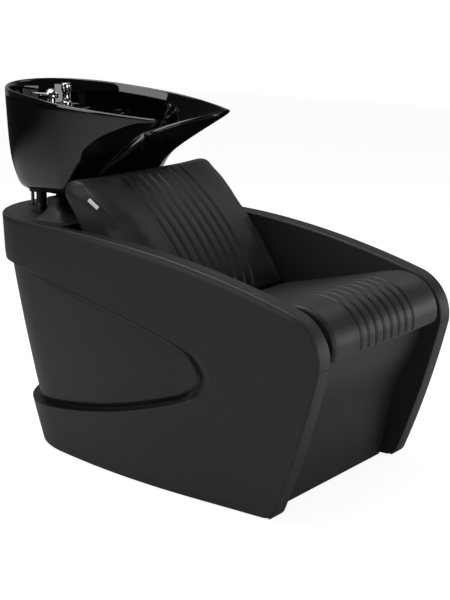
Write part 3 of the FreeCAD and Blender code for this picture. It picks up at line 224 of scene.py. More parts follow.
materials = {}


def at(x, station, height):
    """A point of the row frame, in metres, from millimetres across, along and up."""
    return Vector((x * MM, (station - LENGTH / 2) * MM, height * MM))


def arc_points(start, middle, end, count):
    """Points on the circle through three points of a plane."""
    (ax, ay), (bx, by), (cx, cy) = start, middle, end
    d = 2 * (ax * (by - cy) + bx * (cy - ay) + cx * (ay - by))
    a2, b2, c2 = ax * ax + ay * ay, bx * bx + by * by, cx * cx + cy * cy
    ux = (a2 * (by - cy) + b2 * (cy - ay) + c2 * (ay - by)) / d
    uy = (a2 * (cx - bx) + b2 * (ax - cx) + c2 * (bx - ax)) / d
    radius = math.hypot(ax - ux, ay - uy)
    first = math.atan2(ay - uy, ax - ux)
    turn_mid = (math.atan2(by - uy, bx - ux) - first) % (2 * math.pi)
    turn_end = (math.atan2(cy - uy, cx - ux) - first) % (2 * math.pi)
    if turn_mid > turn_end:
        turn_end -= 2 * math.pi
    angles = first + np.linspace(0, turn_end, count)
    return [(ux + radius * math.cos(a), uy + radius * math.sin(a)) for a in angles]


def smoothstep(x):
    t = np.clip(x, 0.0, 1.0)
    return t * t * (3 - 2 * t)


def resample(points, count):
    """The same line with evenly spaced points."""
    line = np.array(points, float)
    steps = np.linalg.norm(np.diff(line, axis=0), axis=1)
    reach = np.concatenate([[0.0], np.cumsum(steps)])
    marks = np.linspace(0, reach[-1], count)
    return np.stack([np.interp(marks, reach, line[:, k]) for k in range(line.shape[1])], axis=1)


# Meshes and objects


def grid_mesh(name, rows, around=False, caps=False):
    """Quads between rows of points in metres; around closes each row on itself."""
    points = np.array(rows, float)
    count, width = points.shape[:2]
    faces = []
    last = width if around else width - 1
    for r in range(count - 1):
        for c in range(last):
            d = (c + 1) % width
            faces.append((r * width + c, r * width + d, (r + 1) * width + d, (r + 1) * width + c))
    if caps:
        faces.append(tuple(reversed(range(width))))
        faces.append(tuple(range((count - 1) * width, count * width)))
    mesh = bpy.data.meshes.new(name)
    mesh.from_pydata(points.reshape(-1, 3).tolist(), [], faces)
    mesh.update()
    return mesh


def tidy_mesh(mesh, merge=1e-6, recalculate=True):
    """Merges points that coincide and turns the faces outwards."""
    bm = bmesh.new()
    bm.from_mesh(mesh)
    bmesh.ops.remove_doubles(bm, verts=bm.verts, dist=merge)
    if recalculate:
        bmesh.ops.recalc_face_normals(bm, faces=bm.faces)
    bm.to_mesh(mesh)
    bm.free()
    return mesh


def joined_mesh(name, meshes):
    bm = bmesh.new()
    for mesh in meshes:
        bm.from_mesh(mesh)
    whole = bpy.data.meshes.new(name)
    bm.to_mesh(whole)
    bm.free()
    return whole


def linked(name, data):
    """A new object in the scene."""
    thing = bpy.data.objects.new(name, data)
    bpy.context.scene.collection.objects.link(thing)
    return thing


def dressed(name, mesh, material, sharp):
    """An object with one material, shaded smooth except at edges sharper than an angle."""
    for polygon in mesh.polygons:
        polygon.use_smooth = True
    mesh.set_sharp_from_angle(angle=math.radians(sharp))
    mesh.materials.clear()
    mesh.materials.append(materials[material])
    return linked(name, mesh)


def place(name, mesh, material, body, stands_for=(), sharp=35.0):
    """Makes a finished piece: its material, its body and the nodes it stands for."""
    piece = dressed(name, mesh, material, sharp)
    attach(piece, body)
    if stands_for:
        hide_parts(*stands_for)
    return piece


def baked(mesh, modifiers):
    """The mesh with modifiers applied, given as kind and settings."""
    holder = linked("holder", mesh)
    for kind, settings in modifiers:
        modifier = holder.modifiers.new(kind.title(), kind)
        for key, value in settings.items():
            setattr(modifier, key, value)
    graph = bpy.context.evaluated_depsgraph_get()
    result = bpy.data.meshes.new_from_object(holder.evaluated_get(graph))
    bpy.data.objects.remove(holder)
    return result


def tube_mesh(name, points, radii, sides):
    """A closed tube round a line of points in metres, with rings carried along without twist."""
    line = np.array(points, float)
    heading = np.gradient(line, axis=0)
    heading /= np.linalg.norm(heading, axis=1)[:, None]
    side = np.cross(heading[0], (1.0, 0.0, 0.0))
    if np.linalg.norm(side) < 0.1:
        side = np.cross(heading[0], (0.0, 1.0, 0.0))
    rows = []
    for point, ahead, radius in zip(line, heading, radii):
        side = side - ahead * np.dot(side, ahead)
        side /= np.linalg.norm(side)
        other = np.cross(ahead, side)
        angles = np.linspace(0, 2 * math.pi, sides, endpoint=False)
        rows.append([point + radius * (math.cos(a) * side + math.sin(a) * other) for a in angles])
    return grid_mesh(name, rows, around=True, caps=True)


def tube_uv(mesh, rings, sides, length, girth):
    """UV in metres along and round a tube made of rings."""
    layer = mesh.uv_layers.new(name="Along")
    for polygon in mesh.polygons:
        if len(polygon.vertices) != 4:
            continue
        columns = [v % sides for v in polygon.vertices]
        wraps = max(columns) - min(columns) > 1
        for loop, vertex in zip(polygon.loop_indices, polygon.vertices):
            column = vertex % sides
            if wraps and column == 0:
                column = sides
            ring = vertex // sides
            layer.data[loop].uv = (girth * column / sides, length * ring / (rings - 1))


def lathe(name, profile, x, station, segments=48, bored=False):
    """A turned piece on a vertical axis, from radius and height pairs; bored leaves its axis open."""
    rows = []
    for radius, height in profile:
        ring = []
        for step in range(segments):
            angle = 2 * math.pi * step / segments
            ring.append(at(x + radius * math.cos(angle), station + radius * math.sin(angle), height))
        rows.append(ring)
    if bored:
        rows.append(rows[0])
    return tidy_mesh(grid_mesh(name, rows, around=True, caps=not bored))


# Materials


PLASTIC_IOR = 1.5
GLAZE_IOR = 1.52


def linear(code):
    """An sRGB hex colour as linear red, green, blue and alpha."""
    values = [int(code[k:k + 2], 16) / 255 for k in (1, 3, 5)]
    return tuple(v / 12.92 if v <= 0.04045 else ((v + 0.055) / 1.055) ** 2.4 for v in values) + (1.0,)


def add(tree, kind, settings=None, links=None):
    """Adds one node, sets its properties or input values and links its inputs."""
    node = tree.nodes.new(kind)
    for key, value in (settings or {}).items():
        if isinstance(key, int) or key in node.inputs:
            node.inputs[key].default_value = value
        else:
            setattr(node, key, value)
    for key, (source, output) in (links or {}).items():
        tree.links.new(source.outputs[output], node.inputs[key])
    return node


def start_material(name):
    """A new empty material; gives its tree and a node with its coordinates."""
    material = bpy.data.materials.new(name)
    material.use_nodes = True
    tree = material.node_tree
    tree.nodes.clear()
    materials[name] = material
    return tree, add(tree, "ShaderNodeTexCoord")


def noise(tree, coordinates, size_mm, detail):
    settings = {"Scale": 1 / (size_mm * MM), "Detail": detail}
    return add(tree, "ShaderNodeTexNoise", settings, {"Vector": coordinates})


def two_tones(tree, value, code_a, code_b, low=0.0, high=1.0):
    """A colour between two tones, from a value between low and high."""
    ramp = add(tree, "ShaderNodeValToRGB", None, {"Fac": value})
    for element, position, code in zip(ramp.color_ramp.elements, (low, high), (code_a, code_b)):
        element.position = position
        element.color = linear(code)
    return ramp


def mottled(tree, code_a, code_b, coordinates, size_mm, detail=3.0):
    """A colour that drifts between two close tones over patches of a size in millimetres."""
    patches = noise(tree, coordinates, size_mm, detail)
    return two_tones(tree, (patches, "Fac"), code_a, code_b, 0.35, 0.65)


def bump(tree, height, strength, distance_mm):
    settings = {"Strength": strength, "Distance": distance_mm * MM}
    return add(tree, "ShaderNodeBump", settings, {"Height": height})


def output(tree, shader):
    add(tree, "ShaderNodeOutputMaterial", None, {"Surface": (shader, 0)})


def finish(tree, settings, colour, relief=None, links=None):
    """Ends a material with one shader that takes a colour node and, where given, a bump node."""
    links = dict(links or {}, **{"Base Color": (colour, "Color")})
    if relief:
        links["Normal"] = (relief, "Normal")
    output(tree, add(tree, "ShaderNodeBsdfPrincipled", settings, links))


def moulded_plastic(name, code_a, code_b, grain_mm, roughness, strength):
    # Moulded ABS with a fine spark texture: soft wide highlights and a faint speckle
    tree, place_at = start_material(name)
    colour = mottled(tree, code_a, code_b, (place_at, "Object"), 45.0)
    grain = noise(tree, (place_at, "Object"), grain_mm, 2.0)
    relief = bump(tree, (grain, "Fac"), strength, 0.6)
    finish(tree, {"Roughness": roughness, "IOR": PLASTIC_IOR}, colour, relief)


def coated_vinyl(name, code_a, code_b):
    # Coated vinyl cloth with a pebbled hide grain: satin, with a soft bloom at glancing angles.
    # The true grain is about 1 mm and is drawn at 2.6 mm so that it shows.
    tree, place_at = start_material(name)
    colour = mottled(tree, code_a, code_b, (place_at, "Object"), 60.0)
    pebble = add(tree, "ShaderNodeTexVoronoi", {"Scale": 1 / (2.6 * MM), "feature": "SMOOTH_F1"},
                 {"Vector": (place_at, "Object")})
    crease = noise(tree, (place_at, "Object"), 18.0, 5.0)
    height = add(tree, "ShaderNodeMath", {"operation": "MULTIPLY_ADD", 1: 0.5},
                 {0: (crease, "Fac"), 2: (pebble, "Distance")})
    relief = bump(tree, (height, "Value"), 0.22, 0.8)
    settings = {"Roughness": 0.45, "IOR": PLASTIC_IOR, "Specular IOR Level": 0.4, "Sheen Weight": 0.03}
    finish(tree, settings, colour, relief)


def glazed_ceramic(name, code_a, code_b):
    # Fired black glaze: a deep, wet mirror with the faintest ripple
    tree, place_at = start_material(name)
    colour = mottled(tree, code_a, code_b, (place_at, "Object"), 80.0)
    ripple = noise(tree, (place_at, "Object"), 55.0, 1.0)
    relief = bump(tree, (ripple, "Fac"), 0.04, 2.0)
    settings = {"Roughness": 0.035, "IOR": GLAZE_IOR, "Coat Weight": 0.25, "Coat Roughness": 0.02}
    finish(tree, settings, colour, relief)


def plated_metal(name, code_a, code_b, streak_mm, rough_low, rough_high):
    # Plated or bare metal: mirror tone with roughness that drifts in fine patches
    tree, place_at = start_material(name)
    colour = mottled(tree, code_a, code_b, (place_at, "Object"), 20.0)
    streak = noise(tree, (place_at, "Object"), streak_mm, 4.0)
    rough = add(tree, "ShaderNodeMapRange", {"To Min": rough_low, "To Max": rough_high},
                {"Value": (streak, "Fac")})
    finish(tree, {"Metallic": 1.0}, colour, None, {"Roughness": (rough, "Result")})


def braided_steel(name):
    # Stainless braid over a water hose: crossed bright strands about 1.6 mm wide, drawn at 3 mm
    tree, place_at = start_material(name)
    strand_mm, lay = 3.0, 40.0
    strands = []
    for angle in (lay, -lay):
        turned = add(tree, "ShaderNodeMapping", {"Rotation": (0, 0, math.radians(angle))},
                     {"Vector": (place_at, "UV")})
        wave = add(tree, "ShaderNodeTexWave", {"Scale": 1 / (strand_mm * MM) / 6.28, "wave_profile": "SIN"},
                   {"Vector": (turned, "Vector")})
        strands.append((wave, "Fac"))
    cross = add(tree, "ShaderNodeMath", {"operation": "MULTIPLY"}, dict(enumerate(strands)))
    colour = two_tones(tree, (cross, "Value"), "#55565a", "#d4d5d8")
    relief = bump(tree, (cross, "Value"), 0.5, 0.6)
    finish(tree, {"Metallic": 0.7, "Roughness": 0.4}, colour, relief)


def plywood(name):
    # Birch plywood stained dark, as it is where it could be seen: long grain in 6 mm bands
    tree, place_at = start_material(name)
    stretched = add(tree, "ShaderNodeMapping", {"Scale": (1.0, 0.12, 1.0)},
                    {"Vector": (place_at, "Object")})
    grain = mottled(tree, "#2b231c", "#3a2f25", (stretched, "Vector"), 6.0, 5.0)
    finish(tree, {"Roughness": 0.6, "IOR": PLASTIC_IOR}, grain)


def woven_tape(name, code_a, code_b, thread_mm):
    # Woven label tape or sewing thread: fine over and under weave
    tree, place_at = start_material(name)
    settings = {"Scale": 1 / (thread_mm * MM), "Color1": linear(code_a), "Color2": linear(code_b)}
    weave = add(tree, "ShaderNodeTexChecker", settings, {"Vector": (place_at, "Object")})
    relief = bump(tree, (weave, "Fac"), 0.3, 0.3)
    finish(tree, {"Roughness": 0.75, "IOR": PLASTIC_IOR}, weave, relief)


# Sizes and light powers a user would change


class BodyLook(bpy.types.PropertyGroup):
    edge_radius: bpy.props.FloatProperty(
        name="Edge radius", description="Round of the arm and deck edges", default=0.006, unit="LENGTH")
    groove_depth: bpy.props.FloatProperty(
        name="Groove depth", description="Depth of the groove round the leaf", default=0.012, unit="LENGTH")
    slot_width: bpy.props.FloatProperty(
        name="Slot width", description="Width of the arm caps' dark line", default=0.0018, unit="LENGTH")


class CushionLook(bpy.types.PropertyGroup):
    channel_depth: bpy.props.FloatProperty(
        name="Channel depth", description="How far the sewn lines pull in", default=0.0055, unit="LENGTH")
    channel_width: bpy.props.FloatProperty(
        name="Channel width", description="Half width of a sewn line's valley", default=0.0032, unit="LENGTH")
    swell: bpy.props.FloatProperty(
        name="Swell", description="Most that the stuffing moves the cover", default=0.006, unit="LENGTH")
    stitch: bpy.props.FloatProperty(
        name="Stitch", description="Step from one stitch to the next", default=0.0055, unit="LENGTH")


class StageLook(bpy.types.PropertyGroup):
    key_power: bpy.props.FloatProperty(
        name="Key light", description="Power of the main soft light", default=62.0, unit="POWER")
    fill_power: bpy.props.FloatProperty(
        name="Fill light", description="Power of the side lights", default=20.0, unit="POWER")


def nose_share(station, height):
    """0 on the leg, rising round the nose to 1 on the arm."""
    if height < NOSE_HEIGHT:
        return 0.0
    if station > NOSE_RADIUS:
        return 1.0
    angle = math.atan2(height - NOSE_HEIGHT, NOSE_RADIUS - station)
    return float(smoothstep(angle / math.radians(NOSE_ANGLES[1])))


def trim_lip(share):
    """How far a trim laps down the side."""
    return LEG_LIP + (ARM_LIP - LEG_LIP) * share


# Body outlines


def profile_part(part, count):
    """Points of the leg, nose or arm line as station and height."""
    def nose(angle):
        turn = math.radians(angle)
        return (NOSE_RADIUS * (1 - math.cos(turn)), NOSE_HEIGHT + NOSE_RADIUS * math.sin(turn))

    if part == "leg":
        line = []
        for s, z in arc_points(FOOT, KNEE, nose(NOSE_ANGLES[0]), count):
            short = min(max(FOOT_ROUND - z, 0.0), FOOT_ROUND)
            line.append((s + FOOT_ROUND - math.sqrt(FOOT_ROUND ** 2 - short ** 2), z))
        return line
    if part == "nose":
        return [nose(a) for a in np.linspace(NOSE_ANGLES[0], NOSE_ANGLES[1], count)]
    return arc_points(nose(NOSE_ANGLES[1]), ARM_MID, (DECK_START, DECK_HEIGHT), count)


def outward(line):
    """Unit normals of a side-view line that runs from the floor up and back."""
    ahead = np.gradient(np.array(line, float), axis=0)
    ahead /= np.linalg.norm(ahead, axis=1)[:, None]
    return np.stack([-ahead[:, 1], ahead[:, 0]], axis=1)


def inset_profile(depth=None):
    """The side profile drawn in by a depth, or to where the shell meets the trims."""
    leg = profile_part("leg", 240)
    nose = profile_part("nose", 50)
    arm = profile_part("arm", 140)
    line = resample(leg + nose[1:] + arm[1:], 900)
    if depth is None:
        depths = np.array([trim_lip(nose_share(s, z)) for s, z in line])
    else:
        depths = np.full(len(line), depth)
    return line - outward(line) * depths[:, None]


def plan_values(height):
    """The plan at a height: rear, centre of its round, taper radius, where the round joins, taper start."""
    rear = np.interp(height, REAR_HEIGHTS, REAR_STATIONS)
    centre = rear - REAR_RADIUS
    taper_radius = (HALF - REAR_RADIUS * math.cos(TAPER)) / (1 - math.cos(TAPER))
    join = centre + REAR_RADIUS * math.sin(TAPER)
    start = join - taper_radius * math.sin(TAPER)
    return rear, centre, taper_radius, join, start


def half_width(station, height):
    rear, centre, taper_radius, join, start = plan_values(height)
    if station <= start:
        return HALF
    if station <= join:
        return HALF - taper_radius + math.sqrt(taper_radius ** 2 - (station - start) ** 2)
    return math.sqrt(max(REAR_RADIUS ** 2 - (station - centre) ** 2, 0.0))


def round_rear(height, share, inset=0.0, start_station=SPLIT_STATION):
    """A point on the plan, share 0 at the given station and 1 at the rear; with its facing angle."""
    rear, centre, taper_radius, join, start = plan_values(height)
    first = math.asin((start_station - start) / taper_radius)
    run_taper = taper_radius * (TAPER - first)
    run_rear = REAR_RADIUS * (math.pi / 2 - TAPER)
    run = share * (run_taper + run_rear)
    if run < run_taper:
        angle = first + run / taper_radius
        radius = taper_radius - inset
        return HALF - taper_radius + radius * math.cos(angle), start + radius * math.sin(angle), angle
    angle = TAPER + (run - run_taper) / REAR_RADIUS
    radius = REAR_RADIUS - inset
    return radius * math.cos(angle), centre + radius * math.sin(angle), angle


def leaf_lines():
    """The recess edge as an upper line and a line round the tip and along the bottom."""
    tip_s, tip_z = LEAF_TIP
    above, below = LEAF_TOP - tip_z, tip_z - LEAF_BOTTOM
    top_run, low_run = LEAF_TOP_STATION - tip_s, LEAF_BOTTOM_STATION - tip_s
    top, low = (LEAF_TOP_STATION, LEAF_TOP), (LEAF_BOTTOM_STATION, LEAF_BOTTOM)
    slope = (tip_s + 0.5 * top_run, LEAF_TOP - 0.287 * above)
    brow = (tip_s + 0.1 * top_run, tip_z + 0.287 * above)
    cheek = (tip_s + 0.029 * top_run, tip_z + 0.155 * above)
    jaw = (tip_s + 0.011 * low_run, tip_z - 0.184 * below)
    chin = (tip_s + 0.101 * low_run, tip_z - 0.359 * below)
    belly = (tip_s + 0.456 * low_run, LEAF_BOTTOM + 0.283 * below)
    upper = [(LENGTH + 100.0, LEAF_TOP)] + arc_points(top, slope, brow, 50)
    lower = arc_points(brow, cheek, LEAF_TIP, 24)
    lower += arc_points(LEAF_TIP, jaw, chin, 24)[1:]
    lower += arc_points(chin, belly, low, 60)[1:]
    lower.append((LENGTH + 100.0, LEAF_BOTTOM))
    return np.array(upper), np.array(lower)


def line_distance(points, line):
    """Least distance from each point to a line of straight pieces."""
    best = np.full(len(points), 1e9)
    for a, b in zip(line[:-1], line[1:]):
        along = b - a
        share = np.clip(((points - a) @ along) / (along @ along), 0, 1)
        best = np.minimum(best, np.linalg.norm(points - (a + share[:, None] * along), axis=1))
    return best


def inside_polygon(points, polygon):
    inside = np.zeros(len(points), bool)
    for (ax, ay), (bx, by) in zip(polygon, np.roll(polygon, -1, axis=0)):
        crosses = (ay > points[:, 1]) != (by > points[:, 1])
        where = (bx - ax) * (points[:, 1] - ay) / (by - ay + 1e-12) + ax
        inside ^= crosses & (points[:, 0] < where)
    return inside


def recess_depth(stations, heights, facing, groove):
    """How far each point of the shell stands in, and how far the groove draws it down, in millimetres."""
    upper, lower = leaf_lines()
    points = np.stack([stations, heights], axis=1)
    inside = inside_polygon(points, np.concatenate([upper, lower]))
    from_top = line_distance(points, upper)
    from_low = line_distance(points, lower)
    rear = np.sin(facing) ** 2
    height_share = np.clip((LEAF_TOP - heights) / (LEAF_TOP - LEAF_BOTTOM), 0, 1)
    upper_depth, lower_depth, rear_depth, tip_depth = LEAF_DEPTHS
    panel = (upper_depth + (lower_depth - upper_depth) * height_share) * (1 - rear) + rear_depth * rear
    at_tip = 1 - smoothstep((stations - LEAF_TIP[0] - 11.0) / 105.0)
    over = smoothstep((heights - LEAF_TIP[1] + 20.0) / 50.0)
    # The wall is steep along the leaf, softer at the rear and a wide slope at the tip
    edge = np.minimum(from_top, from_low)
    run, more_rear, more_tip = WALL_RUN
    slope = np.clip(edge / (run + more_rear * rear + more_tip * at_tip), 0, 1)
    wall = smoothstep(slope) * (1 - at_tip) + slope * at_tip
    # The groove behind the wall is thinner along the upper edge and fades out towards the rear there
    reach, less_over, more_tip = GROOVE_REACH
    reach = reach - less_over * over * (1 - at_tip) + more_tip * at_tip
    valley = 1 - smoothstep((edge - reach) / GROOVE_SLOPE)
    fade = 1.0
    for share, first, run in GROOVE_FADES:
        fade = fade - share * smoothstep((stations - first) / run)
    valley = valley * (1 - over + over * fade)
    deep = (panel + (tip_depth - panel) * at_tip + groove * (1 - 0.2 * at_tip) * valley) * wall
    depth = np.where(inside, deep, 0.0)
    drop = np.where(inside, GROOVE_DROP * valley * wall * (1 - at_tip) * (1 - over), 0.0)
    return depth, drop


def zone_heights(low, high, edge_low, edge_high):
    """Heights up one column of the shell, close together at both edges of the recess."""
    marks = [low + LEG_GROOVE, edge_low - 6.0, edge_low + 26.0, edge_high - 10.0, edge_high + 4.0]
    marks.append(high - TUCK)
    counts = (9, 22, 22, 10, 12)
    zones = [np.linspace(a, b, n, endpoint=False) for a, b, n in zip(marks, marks[1:], counts)]
    return np.concatenate([[low]] + zones + [[high - TUCK, high]])


def shell_rows():
    """Columns of points up the right half of the body, from the nose to the middle of the rear."""
    line = inset_profile()
    tip = int(np.argmin(line[:, 0]))
    low_line, top_line = line[:tip + 1][::-1], line[tip:]
    upper, lower = leaf_lines()
    under = lower[lower[:, 1] < LEAF_TIP[1] - 40.0]
    over = np.concatenate([upper, lower[lower[:, 1] > LEAF_TIP[1] + 28.0][1:]])[::-1]
    start = LEAF_TIP[0] - 6.0
    # Columns stand closer together where the edge of the leaf turns
    runs = ((line[tip, 0] + 0.4, 40.0, 10), (40.0, start, 30), (start, 352.0, 24), (352.0, 480.0, 34),
            (480.0, SPLIT_STATION, 46))
    top_height = DECK_HEIGHT - ARM_LIP

    def edges(low_station, high_station):
        low = np.interp(low_station, under[:, 0], under[:, 1])
        return low, np.interp(high_station, over[:, 0], over[:, 1])

    first = zone_heights(FLOOR_GAP, np.interp(start, top_line[:, 0], top_line[:, 1]), *edges(start, start))
    shares = (first - first[0]) / (first[-1] - first[0])
    columns = []
    for station in np.concatenate([np.linspace(a, b, n, endpoint=False) for a, b, n in runs]):
        low = max(FLOOR_GAP, np.interp(station, low_line[:, 0], low_line[:, 1], right=FLOOR_GAP))
        high = min(np.interp(station, top_line[:, 0], top_line[:, 1]), top_height)
        heights = low + (high - low) * shares
        if station >= start:
            heights = zone_heights(low, high, *edges(station, station))
        columns.append([(half_width(station, z), station, z, 0.0) for z in heights])
    for share in np.linspace(0, 1, 62):
        low_station = round_rear(LEAF_BOTTOM, share)[1]
        high_station = round_rear(LEAF_TOP, share)[1]
        column = []
        for z in zone_heights(FLOOR_GAP, top_height, *edges(low_station, high_station)):
            x, station, angle = round_rear(z, share)
            column.append((x, station, z, angle))
        columns.append(column)
    return np.array(columns)


def build_shell_mesh(look):
    """The body's skin with the leaf recess, the rear's swell and the tucks at the trims."""
    right = shell_rows()
    shape = right.shape[:2]
    flat = right.reshape(-1, 4)
    depth, drop = recess_depth(flat[:, 1], flat[:, 2], flat[:, 3], look.groove_depth / MM)
    depth = depth.reshape(shape)
    depth[:, -1] += TUCK
    depth[:, 0] += 1.5 * LEG_GROOVE
    below = np.clip((BULGE_TOP - flat[:, 2]) / BULGE_TOP, 0, 1)
    depth = depth.ravel() - REAR_BULGE * np.sin(0.86 * math.pi * below ** 0.75) * np.sin(flat[:, 3]) ** 2
    x = flat[:, 0] - depth * np.cos(flat[:, 3])
    station = flat[:, 1] - depth * np.sin(flat[:, 3])
    height = flat[:, 2] - drop
    points = np.stack([x * MM, (station - LENGTH / 2) * MM, height * MM], axis=1).reshape(*shape, 3)
    left = points[:-1].copy()
    left[:, :, 0] *= -1
    rows = np.concatenate([left, points[::-1]])
    return tidy_mesh(grid_mesh("outer_shell", rows), 2e-5, False)


def trim_ring(station, height, normal, look):
    """A closed section of a trim: outside edge, dark slot, top, inside edge and back underneath."""
    share = nose_share(station, height)
    radius = (0.5 + 0.5 * share) * look.edge_radius / MM
    lip = trim_lip(share)
    slot = SLOT_DEPTH * float(smoothstep((station - SLOT_START) / SLOT_RUN))
    edge = half_width(station, min(height, DECK_HEIGHT))
    turns = np.linspace(0, math.pi / 2, 6)
    near = edge - SLOT_INSET
    far = near - look.slot_width / MM
    section = [(edge, lip)]
    section += [(edge - radius + radius * math.cos(t), radius - radius * math.sin(t)) for t in turns]
    section += [(near, 0.0), (near - 0.2, slot), (far + 0.2, slot), (far, 0.0)]
    section += [(INNER_X + radius - radius * math.sin(t), radius - radius * math.cos(t)) for t in turns]
    inner, outer = INNER_X + INNER_WALL, edge - INNER_WALL
    under = radius + 3.0
    section += [(INNER_X, lip + 1.0), (inner, lip + 1.0), (inner, under), (outer, under), (outer, lip)]
    return [at(x, station - normal[0] * depth, height - normal[1] * depth) for x, depth in section]


# Operators


class BuildShell(bpy.types.Operator):
    """The moulded body with its leaf recess"""
    bl_idname = "backwash.build_shell"
    bl_label = "Body shell"

    def execute(self, context):
        mesh = build_shell_mesh(context.scene.body_look)
        mesh = baked(mesh, [("SOLIDIFY", {"thickness": 5 * MM, "offset": -1.0, "use_even_offset": False})])
        place("body_shell", mesh, "charcoal_abs", "base", ["outer_shell"], 60)
        return {"FINISHED"}


def trim_rows(line, look):
    return [trim_ring(s, z, normal, look) for (s, z), normal in zip(line, outward(line))]


def inner_wall_mesh():
    """The flat wall inside the arm, down to the floor where the cushions hide it."""
    line = inset_profile(INNER_WALL)
    upper = [(s, z) for s, z in line if z > FLOOR_GAP and s < SPLIT_STATION]
    outline = upper + [(SPLIT_STATION, 560.0), (700.0, 420.0), (690.0, FLOOR_GAP)]
    rows = [[at(x, s, z) for s, z in outline] for x in (INNER_X + 0.3, INNER_X + INNER_WALL)]
    return grid_mesh("inner_wall", rows, around=True, caps=True)


def mirrored_mesh(mesh):
    copy = mesh.copy()
    points = np.zeros(len(copy.vertices) * 3)
    copy.vertices.foreach_get("co", points)
    points[0::3] *= -1
    copy.vertices.foreach_set("co", points)
    copy.flip_normals()
    copy.update()
    return copy


class BuildTrims(bpy.types.Operator):
    """The caps over arms and noses, the leg bands and the inner walls"""
    bl_idname = "backwash.build_trims"
    bl_label = "Arm and leg trims"

    def execute(self, context):
        look = context.scene.body_look
        leg_steps = 160
        arm_line = resample(profile_part("nose", 60) + profile_part("arm", 160)[1:], 190)
        leg_line = resample([p for p in profile_part("leg", 360) if p[1] >= FLOOR_GAP], leg_steps)
        leg_line = leg_line - np.outer(np.linspace(0, 1, leg_steps), (0, TRIM_SEAM))
        cap = tidy_mesh(grid_mesh("cap", trim_rows(arm_line, look), around=True, caps=True))
        cap = joined_mesh("arm_trim", [cap, tidy_mesh(inner_wall_mesh())])
        leg = tidy_mesh(grid_mesh("leg_trim", trim_rows(leg_line, look), around=True, caps=True))
        for side, flip in (("right", False), ("left", True)):
            for kind, mesh in (("arm_trim", cap), ("leg_trim", leg)):
                own = mirrored_mesh(mesh) if flip else mesh.copy()
                name = side + "_" + kind
                place(name + "_look", own, "charcoal_abs", "base", [name])
        return {"FINISHED"}


def loop_points(kind, values):
    """A closed loop in plan for a hole in the deck."""
    if kind == "round":
        x, station, radius = values
        angles = np.linspace(0, 2 * math.pi, 40, endpoint=False)
        return [(x + radius * math.cos(a), station + radius * math.sin(a)) for a in angles]
    half, middle = values
    return [(-half, middle - half), (half, middle - half), (half, middle + half), (-half, middle + half)]


def deck_mesh(look):
    """The deck's plate with its rounded edge, dark slot and holes."""
    bm = bmesh.new()
    shares = np.linspace(0, 1, 60)
    front = DECK_START + DECK_SEAM

    def ring(inset, height, front_height=None):
        right = [round_rear(DECK_HEIGHT, t, inset, front)[:2] for t in shares]
        left = [(-x, s) for x, s in right[:-1]]
        right[0] = (right[0][0], front)
        left[0] = (left[0][0], front)
        heights = [height] * (len(left) + len(right))
        heights[0] = heights[-1] = front_height or height
        return [bm.verts.new(at(x, s, z)) for (x, s), z in zip(left + right[::-1], heights)]

    radius = look.edge_radius / MM
    low = DECK_HEIGHT - DECK_SKIN
    section = [(5.0, low), (5.0, DECK_HEIGHT - ARM_LIP), (0.0, DECK_HEIGHT - ARM_LIP)]
    for turn in np.linspace(0, math.pi / 2, 6):
        section.append((radius - radius * math.cos(turn), DECK_HEIGHT - radius + radius * math.sin(turn)))
    rings = [ring(inset, z) for inset, z in section]
    slot_far = SLOT_INSET + look.slot_width / MM
    rings.append(ring(SLOT_INSET, DECK_HEIGHT))
    for inset in (SLOT_INSET + 0.2, slot_far - 0.2):
        rings.append(ring(inset, DECK_HEIGHT - SLOT_DEPTH, DECK_HEIGHT))
    rings.append(ring(slot_far, DECK_HEIGHT))
    for under, over in zip(rings, rings[1:]):
        for k in range(len(under)):
            m = (k + 1) % len(under)
            bm.faces.new((under[k], under[m], over[m], over[k]))
    holes = [("round", (side * SUPPLY_X, SUPPLY_STATION, SUPPLY_HOLE)) for side in (1, -1)]
    holes += [("round", (DRAIN_X, DRAIN_STATION, DRAIN_HOLE)), ("square", (POST_HALF, PIVOT_STATION))]
    walls = []
    for kind, values in holes:
        outline = loop_points(kind, values)
        loops = [[bm.verts.new(at(x, s, z)) for x, s in outline] for z in (low, DECK_HEIGHT)]
        count = len(outline)
        for k in range(count):
            m = (k + 1) % count
            bm.faces.new((loops[0][k], loops[0][m], loops[1][m], loops[1][k]))
        walls.append(loops)
    for level, edge_ring in ((0, rings[0]), (1, rings[-1])):
        edges = []
        for loop in [edge_ring] + [loops[level] for loops in walls]:
            for k in range(len(loop)):
                edges.append(bm.edges.get((loop[k], loop[(k + 1) % len(loop)])))
        bmesh.ops.triangle_fill(bm, use_beauty=True, use_dissolve=False, edges=edges)
    bmesh.ops.recalc_face_normals(bm, faces=bm.faces)
    mesh = bpy.data.meshes.new("rear_deck")
    bm.to_mesh(mesh)
    bm.free()
    return mesh


def rounded_box(x0, x1, s0, s1, corner, count):
    """A plan rectangle with round corners, as evenly stepped points."""
    left, right, front, rear = x0 + corner, x1 - corner, s0 + corner, s1 - corner
    points = []
    for cx, cs, first in ((right, rear, 0), (left, rear, 90), (left, front, 180), (right, front, 270)):
        for step in range(count):
            turn = math.radians(first + 90 * step / (count - 1))
            points.append((cx + corner * math.cos(turn), cs + corner * math.sin(turn)))
    return points


